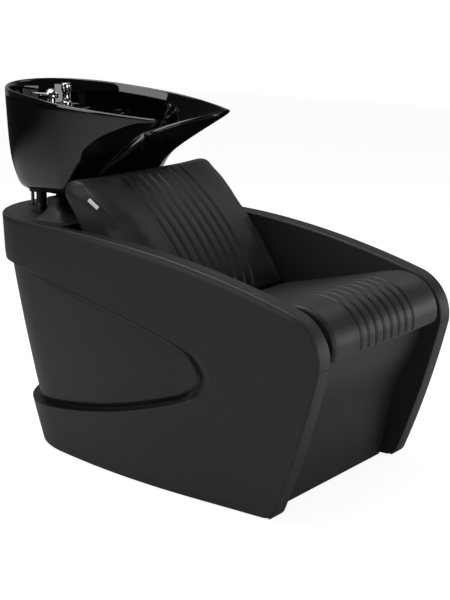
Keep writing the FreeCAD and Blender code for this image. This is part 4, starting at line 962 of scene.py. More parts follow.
def cheek_mesh():
    """One cheek of the saddle, flaring into the deck."""
    rows = []
    low = DECK_HEIGHT - 2.0
    for climb in np.linspace(0, 1, 26):
        share = 1 - (1 - climb) ** 3.4
        x1, s0, s1 = (foot + (head - foot) * share for foot, head in zip(CHEEK_FOOT, CHEEK_HEAD))
        corner = 20.0 - 9.0 * climb
        height = low + (CHEEK_TOP - low) * climb
        rows.append([at(x, s, height) for x, s in rounded_box(CHEEK_INNER, x1, s0, s1, corner, 9)])
    x1, s0, s1 = CHEEK_HEAD
    for inset, fall in ((1.0, 0.8), (3.0, 0.0), (8.0, 0.0)):
        corners = rounded_box(CHEEK_INNER + inset, x1 - inset, s0 + inset, s1 - inset, 10.0, 9)
        rows.append([at(x, s, CHEEK_TOP - fall) for x, s in corners])
    return tidy_mesh(grid_mesh("cheek", rows, around=True, caps=True))


class BuildDeck(bpy.types.Operator):
    """The rear deck and the saddle that covers the tilt hinge"""
    bl_idname = "backwash.build_deck"
    bl_label = "Rear deck"

    def execute(self, context):
        cheek = cheek_mesh()
        mesh = joined_mesh("rear_deck", [deck_mesh(context.scene.body_look), cheek, mirrored_mesh(cheek)])
        place("rear_deck_look", mesh, "charcoal_abs", "base", ["rear_deck"])
        return {"FINISHED"}


class BuildFrontPanel(bpy.types.Operator):
    """The S-shaped panel under the seat's front"""
    bl_idname = "backwash.build_front_panel"
    bl_label = "Front panel"

    def execute(self, context):
        heights = np.linspace(FLOOR_GAP, PANEL_TOP, 60)
        known = np.array(PANEL_LINE)
        line = np.stack([np.interp(heights, known[:, 1], known[:, 0]), heights], axis=1)
        for _ in range(12):
            line[1:-1, 0] = (line[:-2, 0] + 2 * line[1:-1, 0] + line[2:, 0]) / 4
        half = INNER_X - 1.0
        round_in = half - PANEL_EDGE
        side = [(half - PANEL_WALL, PANEL_RETURN)]
        for turn in np.linspace(0, math.pi / 2, 6):
            side.append((round_in + PANEL_EDGE * math.cos(turn), PANEL_EDGE * (1 - math.sin(turn))))
        flat = [(x, 0.0) for x in np.linspace(20 - round_in, round_in - 20, 24)]
        section = [(-x, depth) for x, depth in side] + flat + side[::-1]
        rows = []
        for (s, z), (ns, nz) in zip(line, outward(line)):
            rows.append([at(x, s - ns * depth, z - nz * depth) for x, depth in section])
        mesh = grid_mesh("front_panel", rows)
        mesh = baked(mesh, [("SOLIDIFY", {"thickness": 4 * MM, "offset": 1.0})])
        place("front_panel_look", tidy_mesh(mesh), "charcoal_abs", "base", ["front_panel"])
        return {"FINISHED"}


# Cushions


def closed_section(points, count):
    return resample(list(points) + [points[0]], count + 1)[:-1]


def seat_section(x, inset):
    """The seat's side view, drawn in by an inset in millimetres."""
    top = [(497 - inset, 452 - inset), (300, 499 - inset), (130, 540 - inset)]
    front = arc_points(top[-1], (33 + 0.7 * inset, 514 - 0.7 * inset), (inset, 446), 24)
    lower = [(1 + inset, 424), (5 + inset, 411 + 0.3 * inset), (18 + inset, 404 + 0.3 * inset)]
    under = [(40 + inset, 401), (260, 375.5), (488 - inset, 347), (495 - inset, 354)]
    return closed_section(top + front[1:] + lower + under, 170)


def back_section(x, inset):
    """The back cushion's side view, drawn in by an inset; its top is thicker at the sides."""
    lean_s, lean_z = BACK_LEAN[0] * inset, BACK_LEAN[1] * inset
    thick = 14.0 * float(smoothstep((abs(x) - 130.0) / 120.0))
    foot, bow, top = ((s + lean_s, z + lean_z) for s, z in ((503, 450), (612, 628), (768, 766)))
    face = arc_points(foot, bow, top, 40)
    rear_top = (834 + thick - 0.5 * inset, 763 + 0.4 * thick - 0.6 * inset)
    brink = (786 + lean_s, 780 + lean_z)
    crest = [top] + arc_points(brink, (813 + 0.5 * thick, 785 - inset), rear_top, 20)
    rear = [(831 + thick - 0.4 * inset, 737), (789 + 0.6 * thick, 648), (700, 530), (609, 406), (596, 402)]
    return closed_section(face + crest[1:] + rear, 190)


def cushion_cage(name, section, half):
    """A closed skin a little inside the finished cushion, which the stuffing then fills out."""
    edge = [(half, 10.0), (half - 0.7, 6.5), (half - 2.5, 3.5), (half - 5.5, 1.4), (half - 10, 0.4)]
    edge += [(half - 20, 0.0), (half - 40, 0.0), (half - 54, 0.0)]
    middle = [(x, 0.0) for x in np.linspace(-half + 80, half - 80, 12)]
    marks = [(-x, inset) for x, inset in edge] + middle + edge[::-1]
    rows = [[at(x, s, z) for s, z in section(x, CAGE_INSET + inset)] for x, inset in marks]
    return tidy_mesh(grid_mesh(name, rows, around=True, caps=True))


def vertex_values(mesh, key):
    values = np.zeros(len(mesh.vertices) * 3)
    mesh.vertices.foreach_get(key, values)
    return values.reshape(-1, 3)


def evened(mesh, values, rounds):
    """Values at the points, averaged with their neighbours over and over."""
    pairs = np.zeros(len(mesh.edges) * 2, int)
    mesh.edges.foreach_get("vertices", pairs)
    first, second = pairs[0::2], pairs[1::2]
    degree = np.maximum(np.bincount(pairs, minlength=len(values)), 1)[:, None]
    for _ in range(rounds):
        total = np.zeros_like(values)
        np.add.at(total, first, values[second])
        np.add.at(total, second, values[first])
        values = 0.4 * values + 0.6 * total / degree
    return values


def stuffed(mesh, swell, fixed):
    """A remeshed copy blown up by its stuffing; points for which fixed is true stay put."""
    mesh = baked(mesh, [("REMESH", {"mode": "VOXEL", "voxel_size": VOXEL * MM})])
    start = vertex_values(mesh, "co")
    cover = linked("cover", mesh)
    held = cover.vertex_groups.new(name="held")
    held.add([int(k) for k in np.nonzero(fixed(start))[0]], 1.0, "REPLACE")
    cloth = cover.modifiers.new("Cloth", "CLOTH")
    cloth.settings.use_pressure = True
    cloth.settings.uniform_pressure_force = STUFFING_PRESSURE
    cloth.settings.effector_weights.gravity = 0.0
    cloth.settings.vertex_group_mass = "held"
    cloth.settings.quality = 4
    cloth.point_cache.frame_start = 1
    cloth.point_cache.frame_end = STUFFING_FRAMES
    for step in range(1, STUFFING_FRAMES + 1):
        bpy.context.scene.frame_set(step)
    graph = bpy.context.evaluated_depsgraph_get()
    move = vertex_values(cover.evaluated_get(graph).to_mesh(), "co") - start
    size = np.linalg.norm(move, axis=1)
    move *= np.minimum(1.0, swell / np.maximum(size, 1e-9))[:, None]
    bpy.data.objects.remove(cover)
    bpy.context.scene.frame_set(1)
    start = start + evened(mesh, move, EVEN_ROUNDS)
    start[:, 0] = np.clip(start[:, 0], -SIDE_LIMIT * MM, SIDE_LIMIT * MM)
    mesh.vertices.foreach_set("co", start.ravel())
    mesh.update()
    return baked(mesh, [("SUBSURF", {"levels": 1, "render_levels": 1})])


def stations_of(points):
    """Stations in millimetres of points in metres."""
    return points[:, 1] / MM + LENGTH / 2


def channel_places():
    """Where the sewn lines lie across a cushion, in metres."""
    first = -SEWN_PITCH * (SEWN_LINES - 1) / 2
    return [(first + step * SEWN_PITCH) * MM for step in range(SEWN_LINES)]


def sew(mesh, look, strength, seams):
    """Pulls in the sewn lines and the seams, and lifts the pads between them a little."""
    points = vertex_values(mesh, "co")
    normals = vertex_values(mesh, "normal")
    weight = strength(points, normals)
    pull = np.zeros(len(points))
    for place_x in channel_places():
        away = np.abs(points[:, 0] - place_x)
        points[:, 0] = np.where(away < 1.3 * MM, place_x, points[:, 0])
        pull = np.maximum(pull, np.exp(-(np.abs(points[:, 0] - place_x) / look.channel_width) ** 1.3))
    within = smoothstep((SEWN_HALF * MM - np.abs(points[:, 0])) / (14 * MM))
    move = weight * look.channel_depth * (PAD_LIFT * within * (1 - pull) - pull)
    for seam in seams:
        close = np.nonzero(np.abs(points[:, 0] - seam[:, 0].mean()) < 24 * MM)[0]
        away = line_distance(points[close], seam)
        move[close] -= SEAM_DEPTH * MM * np.exp(-(away / (SEAM_WIDTH * MM)) ** 2)
    points += normals * move[:, None]
    mesh.vertices.foreach_set("co", points.ravel())
    mesh.update()
    return mesh


def seam_lines(section, half, inset, keep):
    """The seam round each side of a cushion, as points in metres."""
    line = [p for p in section(half, CAGE_INSET + inset) if keep(*p)]
    return [np.array([at(side * half, s, z) for s, z in resample(line, 90)]) for side in (-1, 1)]


def on_cover(mesh, line, lift):
    """A line laid on the cover of a cushion, lifted a little off it."""
    tree = BVHTree.FromPolygons([v.co for v in mesh.vertices], [p.vertices for p in mesh.polygons])
    laid = []
    for point in line:
        spot, normal = tree.find_nearest(Vector(point))[:2]
        laid.append(spot + normal * lift)
    return laid


def stitch_nodes():
    """A node tree that sets thread stitches along a curve."""
    tree = bpy.data.node_groups.new("Stitches along a seam", "GeometryNodeTree")
    inputs = (("Curve", "NodeSocketGeometry", None), ("Step", "NodeSocketFloat", 0.0055),
              ("Thread radius", "NodeSocketFloat", 0.0005), ("Thread", "NodeSocketMaterial", None))
    for name, kind, value in inputs:
        socket = tree.interface.new_socket(name=name, in_out="INPUT", socket_type=kind)
        if value is not None:
            socket.default_value = value
    tree.interface.new_socket(name="Stitches", in_out="OUTPUT", socket_type="NodeSocketGeometry")
    given = add(tree, "NodeGroupInput")
    points = add(tree, "GeometryNodeResampleCurve", {"mode": "LENGTH"},
                 {"Curve": (given, "Curve"), "Length": (given, "Step")})
    length = add(tree, "ShaderNodeMath", {"operation": "MULTIPLY", 1: 0.62}, {0: (given, "Step")})
    thread = add(tree, "GeometryNodeMeshCylinder", {"Vertices": 7},
                 {"Radius": (given, "Thread radius"), "Depth": (length, "Value")})
    ahead = add(tree, "GeometryNodeInputTangent")
    turn = add(tree, "FunctionNodeAlignRotationToVector", {"axis": "Z"}, {"Vector": (ahead, "Tangent")})
    placed = add(tree, "GeometryNodeInstanceOnPoints", None,
                 {"Points": (points, "Curve"), "Instance": (thread, "Mesh"), "Rotation": (turn, "Rotation")})
    real = add(tree, "GeometryNodeRealizeInstances", None, {"Geometry": (placed, "Instances")})
    painted = add(tree, "GeometryNodeSetMaterial", None,
                  {"Geometry": (real, "Geometry"), "Material": (given, "Thread")})
    add(tree, "NodeGroupOutput", None, {"Stitches": (painted, "Geometry")})
    return tree


def stitch_mesh(line, step):
    """Stitches along a line, made by the node tree and turned into a mesh."""
    tree = bpy.data.node_groups.get("Stitches along a seam") or stitch_nodes()
    curve = bpy.data.curves.new("seam", "CURVE")
    curve.dimensions = "3D"
    spline = curve.splines.new("POLY")
    spline.points.add(len(line) - 1)
    for point, spot in zip(spline.points, line):
        point.co = (*spot, 1.0)
    holder = linked("seam", curve)
    modifier = holder.modifiers.new("Stitches", "NODES")
    sockets = {item.name: item.identifier for item in tree.interface.items_tree if item.in_out == "INPUT"}
    modifier.node_group = tree
    modifier[sockets["Step"]] = step
    modifier[sockets["Thread"]] = materials["grey_thread"]
    graph = bpy.context.evaluated_depsgraph_get()
    mesh = bpy.data.meshes.new_from_object(holder.evaluated_get(graph))
    bpy.data.objects.remove(holder)
    return mesh


def place_stitches(name, cover, seams, shifts, step):
    """Rows of stitches beside each seam of a cushion."""
    runs = []
    for seam in seams:
        for shift in shifts:
            runs.append(stitch_mesh(on_cover(cover, seam + np.array(shift) * MM, 0.3 * MM), step))
    place(name, joined_mesh(name, runs), "grey_thread", "base", (), 60)


def cushion(name, section, seams, resting, strength, shaped, look):
    """A stuffed and sewn cushion in its final shape; gives its mesh and its seams."""
    mesh = stuffed(cushion_cage(name, section, CUSHION_HALF), look.swell, resting)
    mesh.vertices.foreach_set("co", shaped(vertex_values(mesh, "co")).ravel())
    seams = [shaped(seam) for seam in seams]
    mesh = sew(mesh, look, strength, seams)
    piece = place(name + "_look", mesh, "black_vinyl", "base", [name], 180)
    return mesh, seams


def tucked(points):
    """Points of the seat, drawn in from the left arm's nose at the front."""
    points = np.array(points, float)
    front = smoothstep((270.0 - stations_of(points)) / 150.0)
    points[:, 0] *= 1 - NOSE_TUCK * (points[:, 0] < 0) * front
    return points


class BuildSeat(bpy.types.Operator):
    """The seat cushion with its waterfall front and sewn lines"""
    bl_idname = "backwash.build_seat"
    bl_label = "Seat cushion"

    def execute(self, context):
        look = context.scene.cushion_look

        def resting(points):
            (front, high), (rear, low) = SEAT_UNDER
            station = stations_of(points)
            under = high + (low - high) * (station - front) / (rear - front)
            return (points[:, 2] / MM < under + SEAT_HELD) | (station > SEAT_REAR)

        def strength(points, normals):
            station = stations_of(points)
            facing = smoothstep((normals[:, 2] - 0.75 * normals[:, 1] - 0.1) / 0.3)
            return facing * (0.3 + 0.7 * smoothstep((340.0 - station) / 220.0))

        seams = seam_lines(seat_section, CUSHION_HALF, 5.0, lambda s, z: z > 415 and s < 470)
        mesh, seams = cushion("seat_cushion", seat_section, seams, resting, strength, tucked, look)
        place_stitches("seat_stitches", mesh, seams, SEAT_STITCHES, look.stitch)
        return {"FINISHED"}


def spread(points):
    """Points of the back cushion, wider where it stands clear above the arms."""
    points = np.array(points, float)
    points[:, 0] *= 1 + CREST_SPREAD * smoothstep((points[:, 2] - 0.66) / 0.09)
    return points


class BuildBack(bpy.types.Operator):
    """The reclined back cushion with its sewn lines and its blank sewn tag"""
    bl_idname = "backwash.build_back"
    bl_label = "Back cushion"

    def execute(self, context):
        look = context.scene.cushion_look

        def resting(points):
            (foot, low), (head, high) = BACK_REAR
            behind = (points[:, 2] / MM - low) / (high - low) * (head - foot) + foot
            return (stations_of(points) > behind - BACK_HELD) & (points[:, 2] < DECK_HEIGHT * MM)

        def strength(points, normals):
            facing = -BACK_LEAN[1] * normals[:, 2] - BACK_LEAN[0] * normals[:, 1]
            facing = smoothstep((facing - 0.3) / 0.4)
            return facing * smoothstep((0.784 - points[:, 2]) / 0.024)

        def kept(station, height):
            return height > 470 and height > 450 + 0.95 * (station - 503)

        seams = seam_lines(back_section, CUSHION_HALF, 9.0, kept)
        mesh, seams = cushion("back_cushion", back_section, seams, resting, strength, spread, look)
        place_stitches("back_stitches", mesh, seams, BACK_STITCHES, look.stitch)
        self.sew_tag(mesh, seams[0])
        return {"FINISHED"}

    def sew_tag(self, cover, seam):
        first, last = TAG_STATIONS
        stations = stations_of(seam)
        along = seam[(stations > first) & (stations < last) & (seam[:, 2] > 0.6)]
        rows = []
        for reach, lift in TAG_STEPS:
            shifted = along + np.array(TAG_FALL) * reach * MM
            rows.append(on_cover(cover, shifted, lift * MM))
        mesh = baked(grid_mesh("sewn_tag", rows), [("SOLIDIFY", {"thickness": 0.6 * MM, "offset": 0.0})])
        place("sewn_tag", tidy_mesh(mesh), "white_label", "base", (), 60)


# Basin


LOOP_STEPS = {"side": 12, "taper": 10, "rear": 28, "bay": 24}
# Each level in plan: half width, rear, round of the rear and its taper, corner at the front,
# middle of the bay, shares of the side's middle between corner and start, and how far it bulges
LEVELS = {
    "rim": (240.0, BASIN_REAR + 9.0, 222.0, 15.0, (163.0, 617.0), 702.0, (0.5, 0.5), (15.0, 0.0)),
    "brow": (222.0, 1235.0, 209.0, 13.1, (138.0, 818.0), 843.0, (0.55, 0.5), (12.0, -4.0)),
    "foot": (197.0, 1208.0, 187.0, 12.0, (125.0, 890.0), 885.0, (0.6, 0.5), (3.0, -7.5)),
    "floor": (150.0, 1105.0, 145.0, 12.0, (100.0, 888.0), 883.0, (0.75, 0.35), (0.0, 0.0)),
}


def basin_loop(level, inset=0.0):
    """A closed plan outline from the right tip round the rear to the left tip and the front bay."""
    half, rear, radius, taper, corner, bay, shares, bulge = LEVELS[level]
    half, radius, centre = half - inset, radius - inset, rear - radius
    tip_x, tip_s = corner[0] - inset, corner[1] + inset
    turn = math.radians(taper)
    taper_radius = (half - radius * math.cos(turn)) / (1 - math.cos(turn))
    taper_centre = half - taper_radius
    start = centre + (radius - taper_radius) * math.sin(turn)
    middle = (tip_x + shares[0] * (half - tip_x) + bulge[0], tip_s + shares[1] * (start - tip_s) + bulge[1])
    steps = LOOP_STEPS["side"]
    fine = resample(arc_points((tip_x, tip_s), middle, (half, start), 40), 400)
    right = [tuple(fine[round(399 * (step / steps) ** 2)]) for step in range(steps)]
    for angle in np.linspace(0, turn, LOOP_STEPS["taper"] + 1)[:-1]:
        across, along = taper_radius * math.cos(angle), taper_radius * math.sin(angle)
        right.append((taper_centre + across, start + along))
    turns = np.linspace(turn, math.pi - turn, LOOP_STEPS["rear"] + 1)
    behind = [(radius * math.cos(a), centre + radius * math.sin(a)) for a in turns]
    left = [(-x, s) for x, s in right[1:]][::-1] + [(-tip_x, tip_s)]
    fine = arc_points((-tip_x, tip_s), (0.0, bay + inset), (tip_x, tip_s), 401)
    marks = np.linspace(0, 1, LOOP_STEPS["bay"] + 1)
    marks = 0.2 * marks + 0.8 * smoothstep(marks)
    front = [fine[round(400 * mark)] for mark in marks[1:-1]]
    return np.array(right + behind + left + front)


def rim_height(station):
    """Height of the rim, which falls towards the front."""
    return RIM_REAR - RIM_SLOPE * (BASIN_REAR - station)


def notch_height(x):
    """Height of the neck notch, a soft V across the front."""
    return NOTCH_HEIGHT + math.hypot(0.315 * x, 6.0)


def eased(start, end, leave, arrive, share):
    """A point of the cubic between two points with their slopes."""
    square, cube = share ** 2, share ** 3
    ends = (2 * cube - 3 * square + 1) * start + (3 * square - 2 * cube) * end
    return ends + (cube - 2 * square + share) * leave + (cube - square) * arrive


def wall_line(levels, top, count):
    """A smooth line up through three levels, cut at a height and evenly stepped."""
    foot, knee, head = (np.array(level, float) for level in levels)
    knee_share = 0.4
    slope = 0.9 * (head - foot)
    line = []
    for share in np.linspace(0, 1, 80):
        if share < knee_share:
            line.append(eased(foot, knee, knee - foot, slope * knee_share, share / knee_share))
        else:
            rest = 1 - knee_share
            line.append(eased(knee, head, slope * rest, head - knee, (share - knee_share) / rest))
    keep = [p for p in line if p[2] < top]
    k = len(keep)
    if k < len(line):
        share = (top - line[k - 1][2]) / (line[k][2] - line[k - 1][2])
        keep.append(line[k - 1] + share * (line[k] - line[k - 1]))
    return resample(keep, count)


def basin_mesh():
    """The basin as columns from its underside up the outside, over the rim and down to the waste."""
    rim, rim_in = basin_loop("rim"), basin_loop("rim", RIM_WALL)
    brow, brow_in = basin_loop("brow"), basin_loop("brow", BROW_WALL)
    foot, foot_in = basin_loop("foot"), basin_loop("foot", FOOT_WALL)
    floor = basin_loop("floor")
    count = len(rim)
    left_tip = count - LOOP_STEPS["bay"]
    columns = []
    rear_index = [k for k in range(count) if rim_in[k][1] > LEDGE_FRONT + 55.0]
    for k in range(count):
        x, s = rim[k]
        top = rim_height(s)
        if k in (0, left_tip):
            top = min(top, notch_height(x) + TIP_RISE)
        elif k > left_tip:
            top = min(top, notch_height(x))
        outside = [(*foot[k], BASIN_BOTTOM), (*brow[k], BROW_HEIGHT), (*rim[k], rim_height(s))]
        rim_level = rim_height(rim_in[k][1])
        inside = [(*floor[k], BOWL_FLOOR), (*brow_in[k], BROW_HEIGHT + 14.0), (*rim_in[k], rim_level)]
        outer = wall_line(outside, top, 14)
        inner = wall_line(inside, top, 16)
        middle = FOOT_CENTRE + (foot_in[k] - FOOT_CENTRE) * 0.5
        edge = foot[k] - (foot[k] - foot_in[k]) / np.linalg.norm(foot[k] - foot_in[k]) * 12.0
        column = [np.array((*middle, BASIN_BOTTOM)), np.array((*foot_in[k], BASIN_BOTTOM))]
        column.append(np.array((*edge, BASIN_BOTTOM + 2.0)))
        column.append(outer[1] * 0.35 + outer[0] * 0.65 + np.array((0, 0, 3.0)))
        column += list(outer[2:])
        lip = (outer[-1] + inner[-1]) / 2
        for side, rise in ((outer[-1], RIM_ROLL - 2.0), (lip, RIM_ROLL), (inner[-1], RIM_ROLL - 2.0)):
            column.append(lip * 0.35 + side * 0.65 + np.array((0, 0, rise)))
        column += inner_rows(k, inner, floor, rear_index)
        columns.append(column)
    rows = (np.array(columns) - (0.0, LENGTH / 2, 0.0)).transpose(1, 0, 2) * MM
    mesh = grid_mesh("basin", rows, around=True)
    bm = bmesh.new()
    bm.from_mesh(mesh)
    bm.verts.ensure_lookup_table()
    bm.faces.new([bm.verts[k] for k in range(count)])
    bmesh.ops.recalc_face_normals(bm, faces=bm.faces)
    bm.to_mesh(mesh)
    bm.free()
    return mesh


def inner_rows(k, inner, floor, rear_index):
    """From the lip down the wall, over the tap ledge at the rear, to the floor and the waste."""
    down = inner[::-1]
    heights = down[:, 2]
    rows = []

    def wall_at(height):
        return np.array([np.interp(height, heights[::-1], down[::-1, axis]) for axis in range(3)])

    top = heights[0]
    base = floor[k]
    low = LEDGE_HEIGHT if k in rear_index else min(LEDGE_HEIGHT, top - 6.0)
    for share in (0.12, 0.4, 0.7, 0.9):
        rows.append(wall_at(top + (low - top) * share))
    if k in rear_index:
        wall = wall_at(LEDGE_HEIGHT)
        across = 1 - 2 * rear_index.index(k) / (len(rear_index) - 1)
        half = LEDGE_HALF
        if k in (rear_index[0], rear_index[-1]):
            half = min(half, abs(wall[0]))
        edge = np.array((across * half, LEDGE_FRONT, LEDGE_HEIGHT))
        back = wall + (edge - wall) * 0.08
        front = wall + (edge - wall) * 0.94
        rows += [wall * 0.9 + back * 0.1 + np.array((0, 0, 2.0)), back, front]
        for share, lean in ((0.05, 0.0), (0.15, 0.05), (0.5, 0.35), (0.85, 0.75)):
            height = LEDGE_HEIGHT + (BOWL_FLOOR - LEDGE_HEIGHT) * share
            rows.append(np.array((*(edge[:2] + (base - edge[:2]) * lean), height)))
    else:
        for share in (0.02, 0.06, 0.12, 0.2, 0.36, 0.6, 0.85):
            rows.append(wall_at(low + (BOWL_FLOOR - low) * share))
    waste = np.array((0.0, WASTE_STATION))
    for share, drop in ((0.0, 2.0), (0.18, 0.0), (0.55, 0.0), (0.8, 0.0)):
        rows.append(np.array((*(base + (waste - base) * share), BOWL_FLOOR + drop)))
    away = base - waste
    away = away / np.linalg.norm(away)
    for drop in (0.0, 11.0):
        rows.append(np.array((*(waste + away * WASTE_RADIUS), BOWL_FLOOR - drop)))
    return rows


class BuildBasin(bpy.types.Operator):
    """The glazed basin with its neck notch, rolled rim and tap ledge"""
    bl_idname = "backwash.build_basin"
    bl_label = "Basin"

    def execute(self, context):
        mesh = baked(basin_mesh(), [("SUBSURF", {"levels": 2, "render_levels": 2})])
        bore = [(HOSE_BORE, HOSE_END), (HOSE_BORE, LEDGE_HEIGHT + 8)]
        drill = linked("drill", lathe("drill", bore, SHOWER_X, SHOWER_STATION))
        mesh = baked(mesh, [("BOOLEAN", {"operation": "DIFFERENCE", "object": drill, "solver": "EXACT"})])
        bpy.data.objects.remove(drill)
        place("basin_look", mesh, "black_glaze", "tilting_basin", ["basin"], 180)
        return {"FINISHED"}


# Taps and waste


class BuildTaps(bpy.types.Operator):
    """The dome mixer, hand shower with its socket, and the waste in chrome"""
    bl_idname = "backwash.build_taps"
    bl_label = "Taps"

    def execute(self, context):
        z = LEDGE_HEIGHT + 0.4
        mixer, shower, waste = (0, MIXER_STATION), (SHOWER_X, SHOWER_STATION), (0, WASTE_STATION)
        base = [(16.5, 896), (16.5, z), (25.0, z), (25.0, z + 4), (23.6, z + 6), (16, z + 8),
                (13.0, z + 12), (13.0, 955)]
        self.turn("mixer_base", base, mixer, "tilting_basin")
        top = math.pi / 2 - 0.02
        outside, inside = np.linspace(-0.25, top, 22), np.linspace(top, -0.28, 14)
        dome = [(17.5, 958.5)]
        for radius, angles in ((22.0, outside), (18.5, inside)):
            dome += [(radius * math.cos(a), DOME_CENTRE + radius * math.sin(a)) for a in angles]
        cap = lathe("mixer_handle", dome, *mixer)
        shares = np.linspace(0, 1, 16)
        path = [at(-10 - 70 * t, MIXER_STATION, DOME_CENTRE + 5 + 9 * t) for t in shares]
        girths = [(5.2 - 1.6 * t + 1.8 * max(0.0, t - 0.8) / 0.2) * MM for t in shares]
        girths[-1] *= 0.6
        lever = tidy_mesh(tube_mesh("lever", path, girths, 20))
        whole = joined_mesh("mixer_handle", [cap, lever])
        place("mixer_handle_look", whole, "polished_chrome", "handle", ["mixer_handle"])
        socket = [(12.4, 886), (15.5, 886), (15.5, z), (20.0, z), (20.5, z + 2), (19.5, z + 4.4),
                  (15.0, z + 4.8), (12.4, z + 4.8)]
        self.turn("shower_socket", socket, shower, "tilting_basin", bored=True)
        handset = [(7.0, 900), (11.8, 902), (11.8, 935.6), (15.0, 935.8), (15.0, 943), (13.2, 945.5),
                   (11.6, 950), (11.0, 962), (11.4, 970), (13.2, 976), (14.2, 980), (14.2, 993),
                   (13.4, 996.5), (11.0, 998.4), (6.0, 999)]
        self.turn("hand_shower", handset, shower, "shower")
        flange = [(16.6, 728), (22.6, 728), (22.6, 757.2), (33.0, 757.3), (33.0, 758.4), (30.0, 760.0),
                  (18.0, 759.6), (16.6, 758)]
        self.turn("waste_flange", flange, waste, "tilting_basin")
        return {"FINISHED"}

    def turn(self, name, profile, axis, body, bored=False):
        mesh = lathe(name, profile, *axis, bored=bored)
        place(name + "_look", mesh, "polished_chrome", body, [name])


class BuildHoses(bpy.types.Operator):
    """The braided supply hoses and the ribbed drain hose"""
    bl_idname = "backwash.build_hoses"
    bl_label = "Hoses"

    def execute(self, context):
        for side, name in ((1, "right"), (-1, "left")):
            route = [(8, MIXER_STATION, 895), (8, MIXER_STATION, 863), (SUPPLY_X, SUPPLY_STATION, 790),
                     (SUPPLY_X, SUPPLY_STATION, 590), (SUPPLY_X, 1020, 320), (SUPPLY_X, 1020, 90)]
            line = rounded_line([at(side * x, s, z) for x, s, z in route], 9 * SUPPLY_RADIUS * MM, 150)
            sides = 16
            mesh = tube_mesh("hose", line, [SUPPLY_RADIUS * MM] * len(line), sides)
            tube_uv(mesh, len(line), sides, 1.0, 2 * math.pi * SUPPLY_RADIUS * MM)
            node = name + "_supply_hose"
            bend_piece(node + "_look", mesh, "steel_braid", [node])
        cuff, root, crest = 15.0, 14.6, 17.0
        heights, radii = [DRAIN_BOTTOM, DRAIN_BOTTOM + 2 * cuff], [cuff, cuff]
        z = DRAIN_BOTTOM + 32.0
        while z < DRAIN_TOP - 38.0:
            heights += [z, z + 1.3, z + 3.1, z + 4.4]
            radii += [root, crest, crest, root]
            z += RIB_PITCH
        heights += [DRAIN_TOP - 2 * cuff, DRAIN_TOP]
        radii += [cuff, cuff]
        line = [at(DRAIN_X, DRAIN_STATION, z) for z in heights]
        mesh = tidy_mesh(tube_mesh("drain", line, [r * MM for r in radii], 40))
        bend_piece("drain_hose_look", mesh, "hose_black", ["drain_hose"])
        return {"FINISHED"}


def rounded_line(points, radius, count):
    """Straight runs with corners eased by a quadratic turn, evenly stepped."""
    line = [points[0]]
    for before, corner, after in zip(points, points[1:], points[2:]):
        reach = min(radius, 0.45 * (corner - before).length, 0.45 * (after - corner).length)
        enter = corner + (before - corner).normalized() * reach
        leave = corner + (after - corner).normalized() * reach
        for t in np.linspace(0, 1, 12):
            line.append(enter * (1 - t) ** 2 + corner * 2 * t * (1 - t) + leave * t ** 2)
    line.append(points[-1])
    return resample([tuple(p) for p in line], count)


def bend_piece(name, mesh, material, stands_for):
    """A hose with its material, its place baked into its mesh and the nodes it stands for hidden."""
    piece = dressed(name, mesh, material, 70.0)
    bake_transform(piece)
    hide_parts(*stands_for)
    return piece


class DressFrame(bpy.types.Operator):
    """Finishes for the CAD pieces that stay"""
    bl_idname = "backwash.dress_frame"
    bl_label = "Frame finishes"

    def execute(self, context):
        finishes = {
            "chrome": "polished_chrome", "brass": "turned_brass", "frame_steel": "powder_coat",
            "plated_steel": "zinc_plate", "plywood": "birch_ply", "rubber": "black_rubber",
            "hose_plastic": "hose_black", "pipe_plastic": "grey_pipe", "nylon": "white_nylon",
            "shell_plastic": "charcoal_abs", "upholstery": "black_vinyl", "glazed_ceramic": "black_glaze",
            "braided_steel": "steel_braid",
        }
        for part in frame["record"]["subparts"]:
            mesh = frame["nodes"][part["node"]].data
            mesh.materials.clear()
            mesh.materials.append(materials[finishes[part["material_slot"]]])
        return {"FINISHED"}


class MakeMaterials(bpy.types.Operator):
    """Every finish on the unit"""
    bl_idname = "backwash.make_materials"
    bl_label = "Materials"

    def execute(self, context):
        moulded_plastic("charcoal_abs", "#19191b", "#1c1c1e", 2.4, 0.52, 0.12)
        moulded_plastic("hose_black", "#101011", "#151516", 3.0, 0.42, 0.1)
        moulded_plastic("grey_pipe", "#8b8c8e", "#939496", 3.0, 0.4, 0.1)
        moulded_plastic("white_nylon", "#d8d5cc", "#dedbd2", 2.0, 0.45, 0.1)
        moulded_plastic("black_rubber", "#131313", "#181818", 2.0, 0.7, 0.3)
        moulded_plastic("powder_coat", "#151516", "#19191a", 2.2, 0.45, 0.25)
        coated_vinyl("black_vinyl", "#1a1a1c", "#1d1d1f")
        glazed_ceramic("black_glaze", "#040405", "#060607")
        plated_metal("polished_chrome", "#d9d9db", "#e4e4e6", 9.0, 0.04, 0.09)
        plated_metal("zinc_plate", "#a9abad", "#bfc1c3", 6.0, 0.28, 0.42)
        plated_metal("turned_brass", "#b99a52", "#c9ab63", 4.0, 0.22, 0.35)
        braided_steel("steel_braid")
        plywood("birch_ply")
        woven_tape("white_label", "#e9e9ea", "#f4f4f5", 0.8)
        woven_tape("grey_thread", "#2f2f32", "#3a3a3d", 0.5)
        return {"FINISHED"}


# Stage


def area_light(name, location, target, width, height, power):
    """A soft box that faces its target."""
    data = bpy.data.lights.new(name, "AREA")
    data.shape = "RECTANGLE"
    data.size, data.size_y = width, height
    data.energy = power
    lamp = linked(name, data)
    lamp.location = location
    lamp.rotation_euler = (Vector(target) - Vector(location)).to_track_quat("-Z", "Y").to_euler()
    return lamp


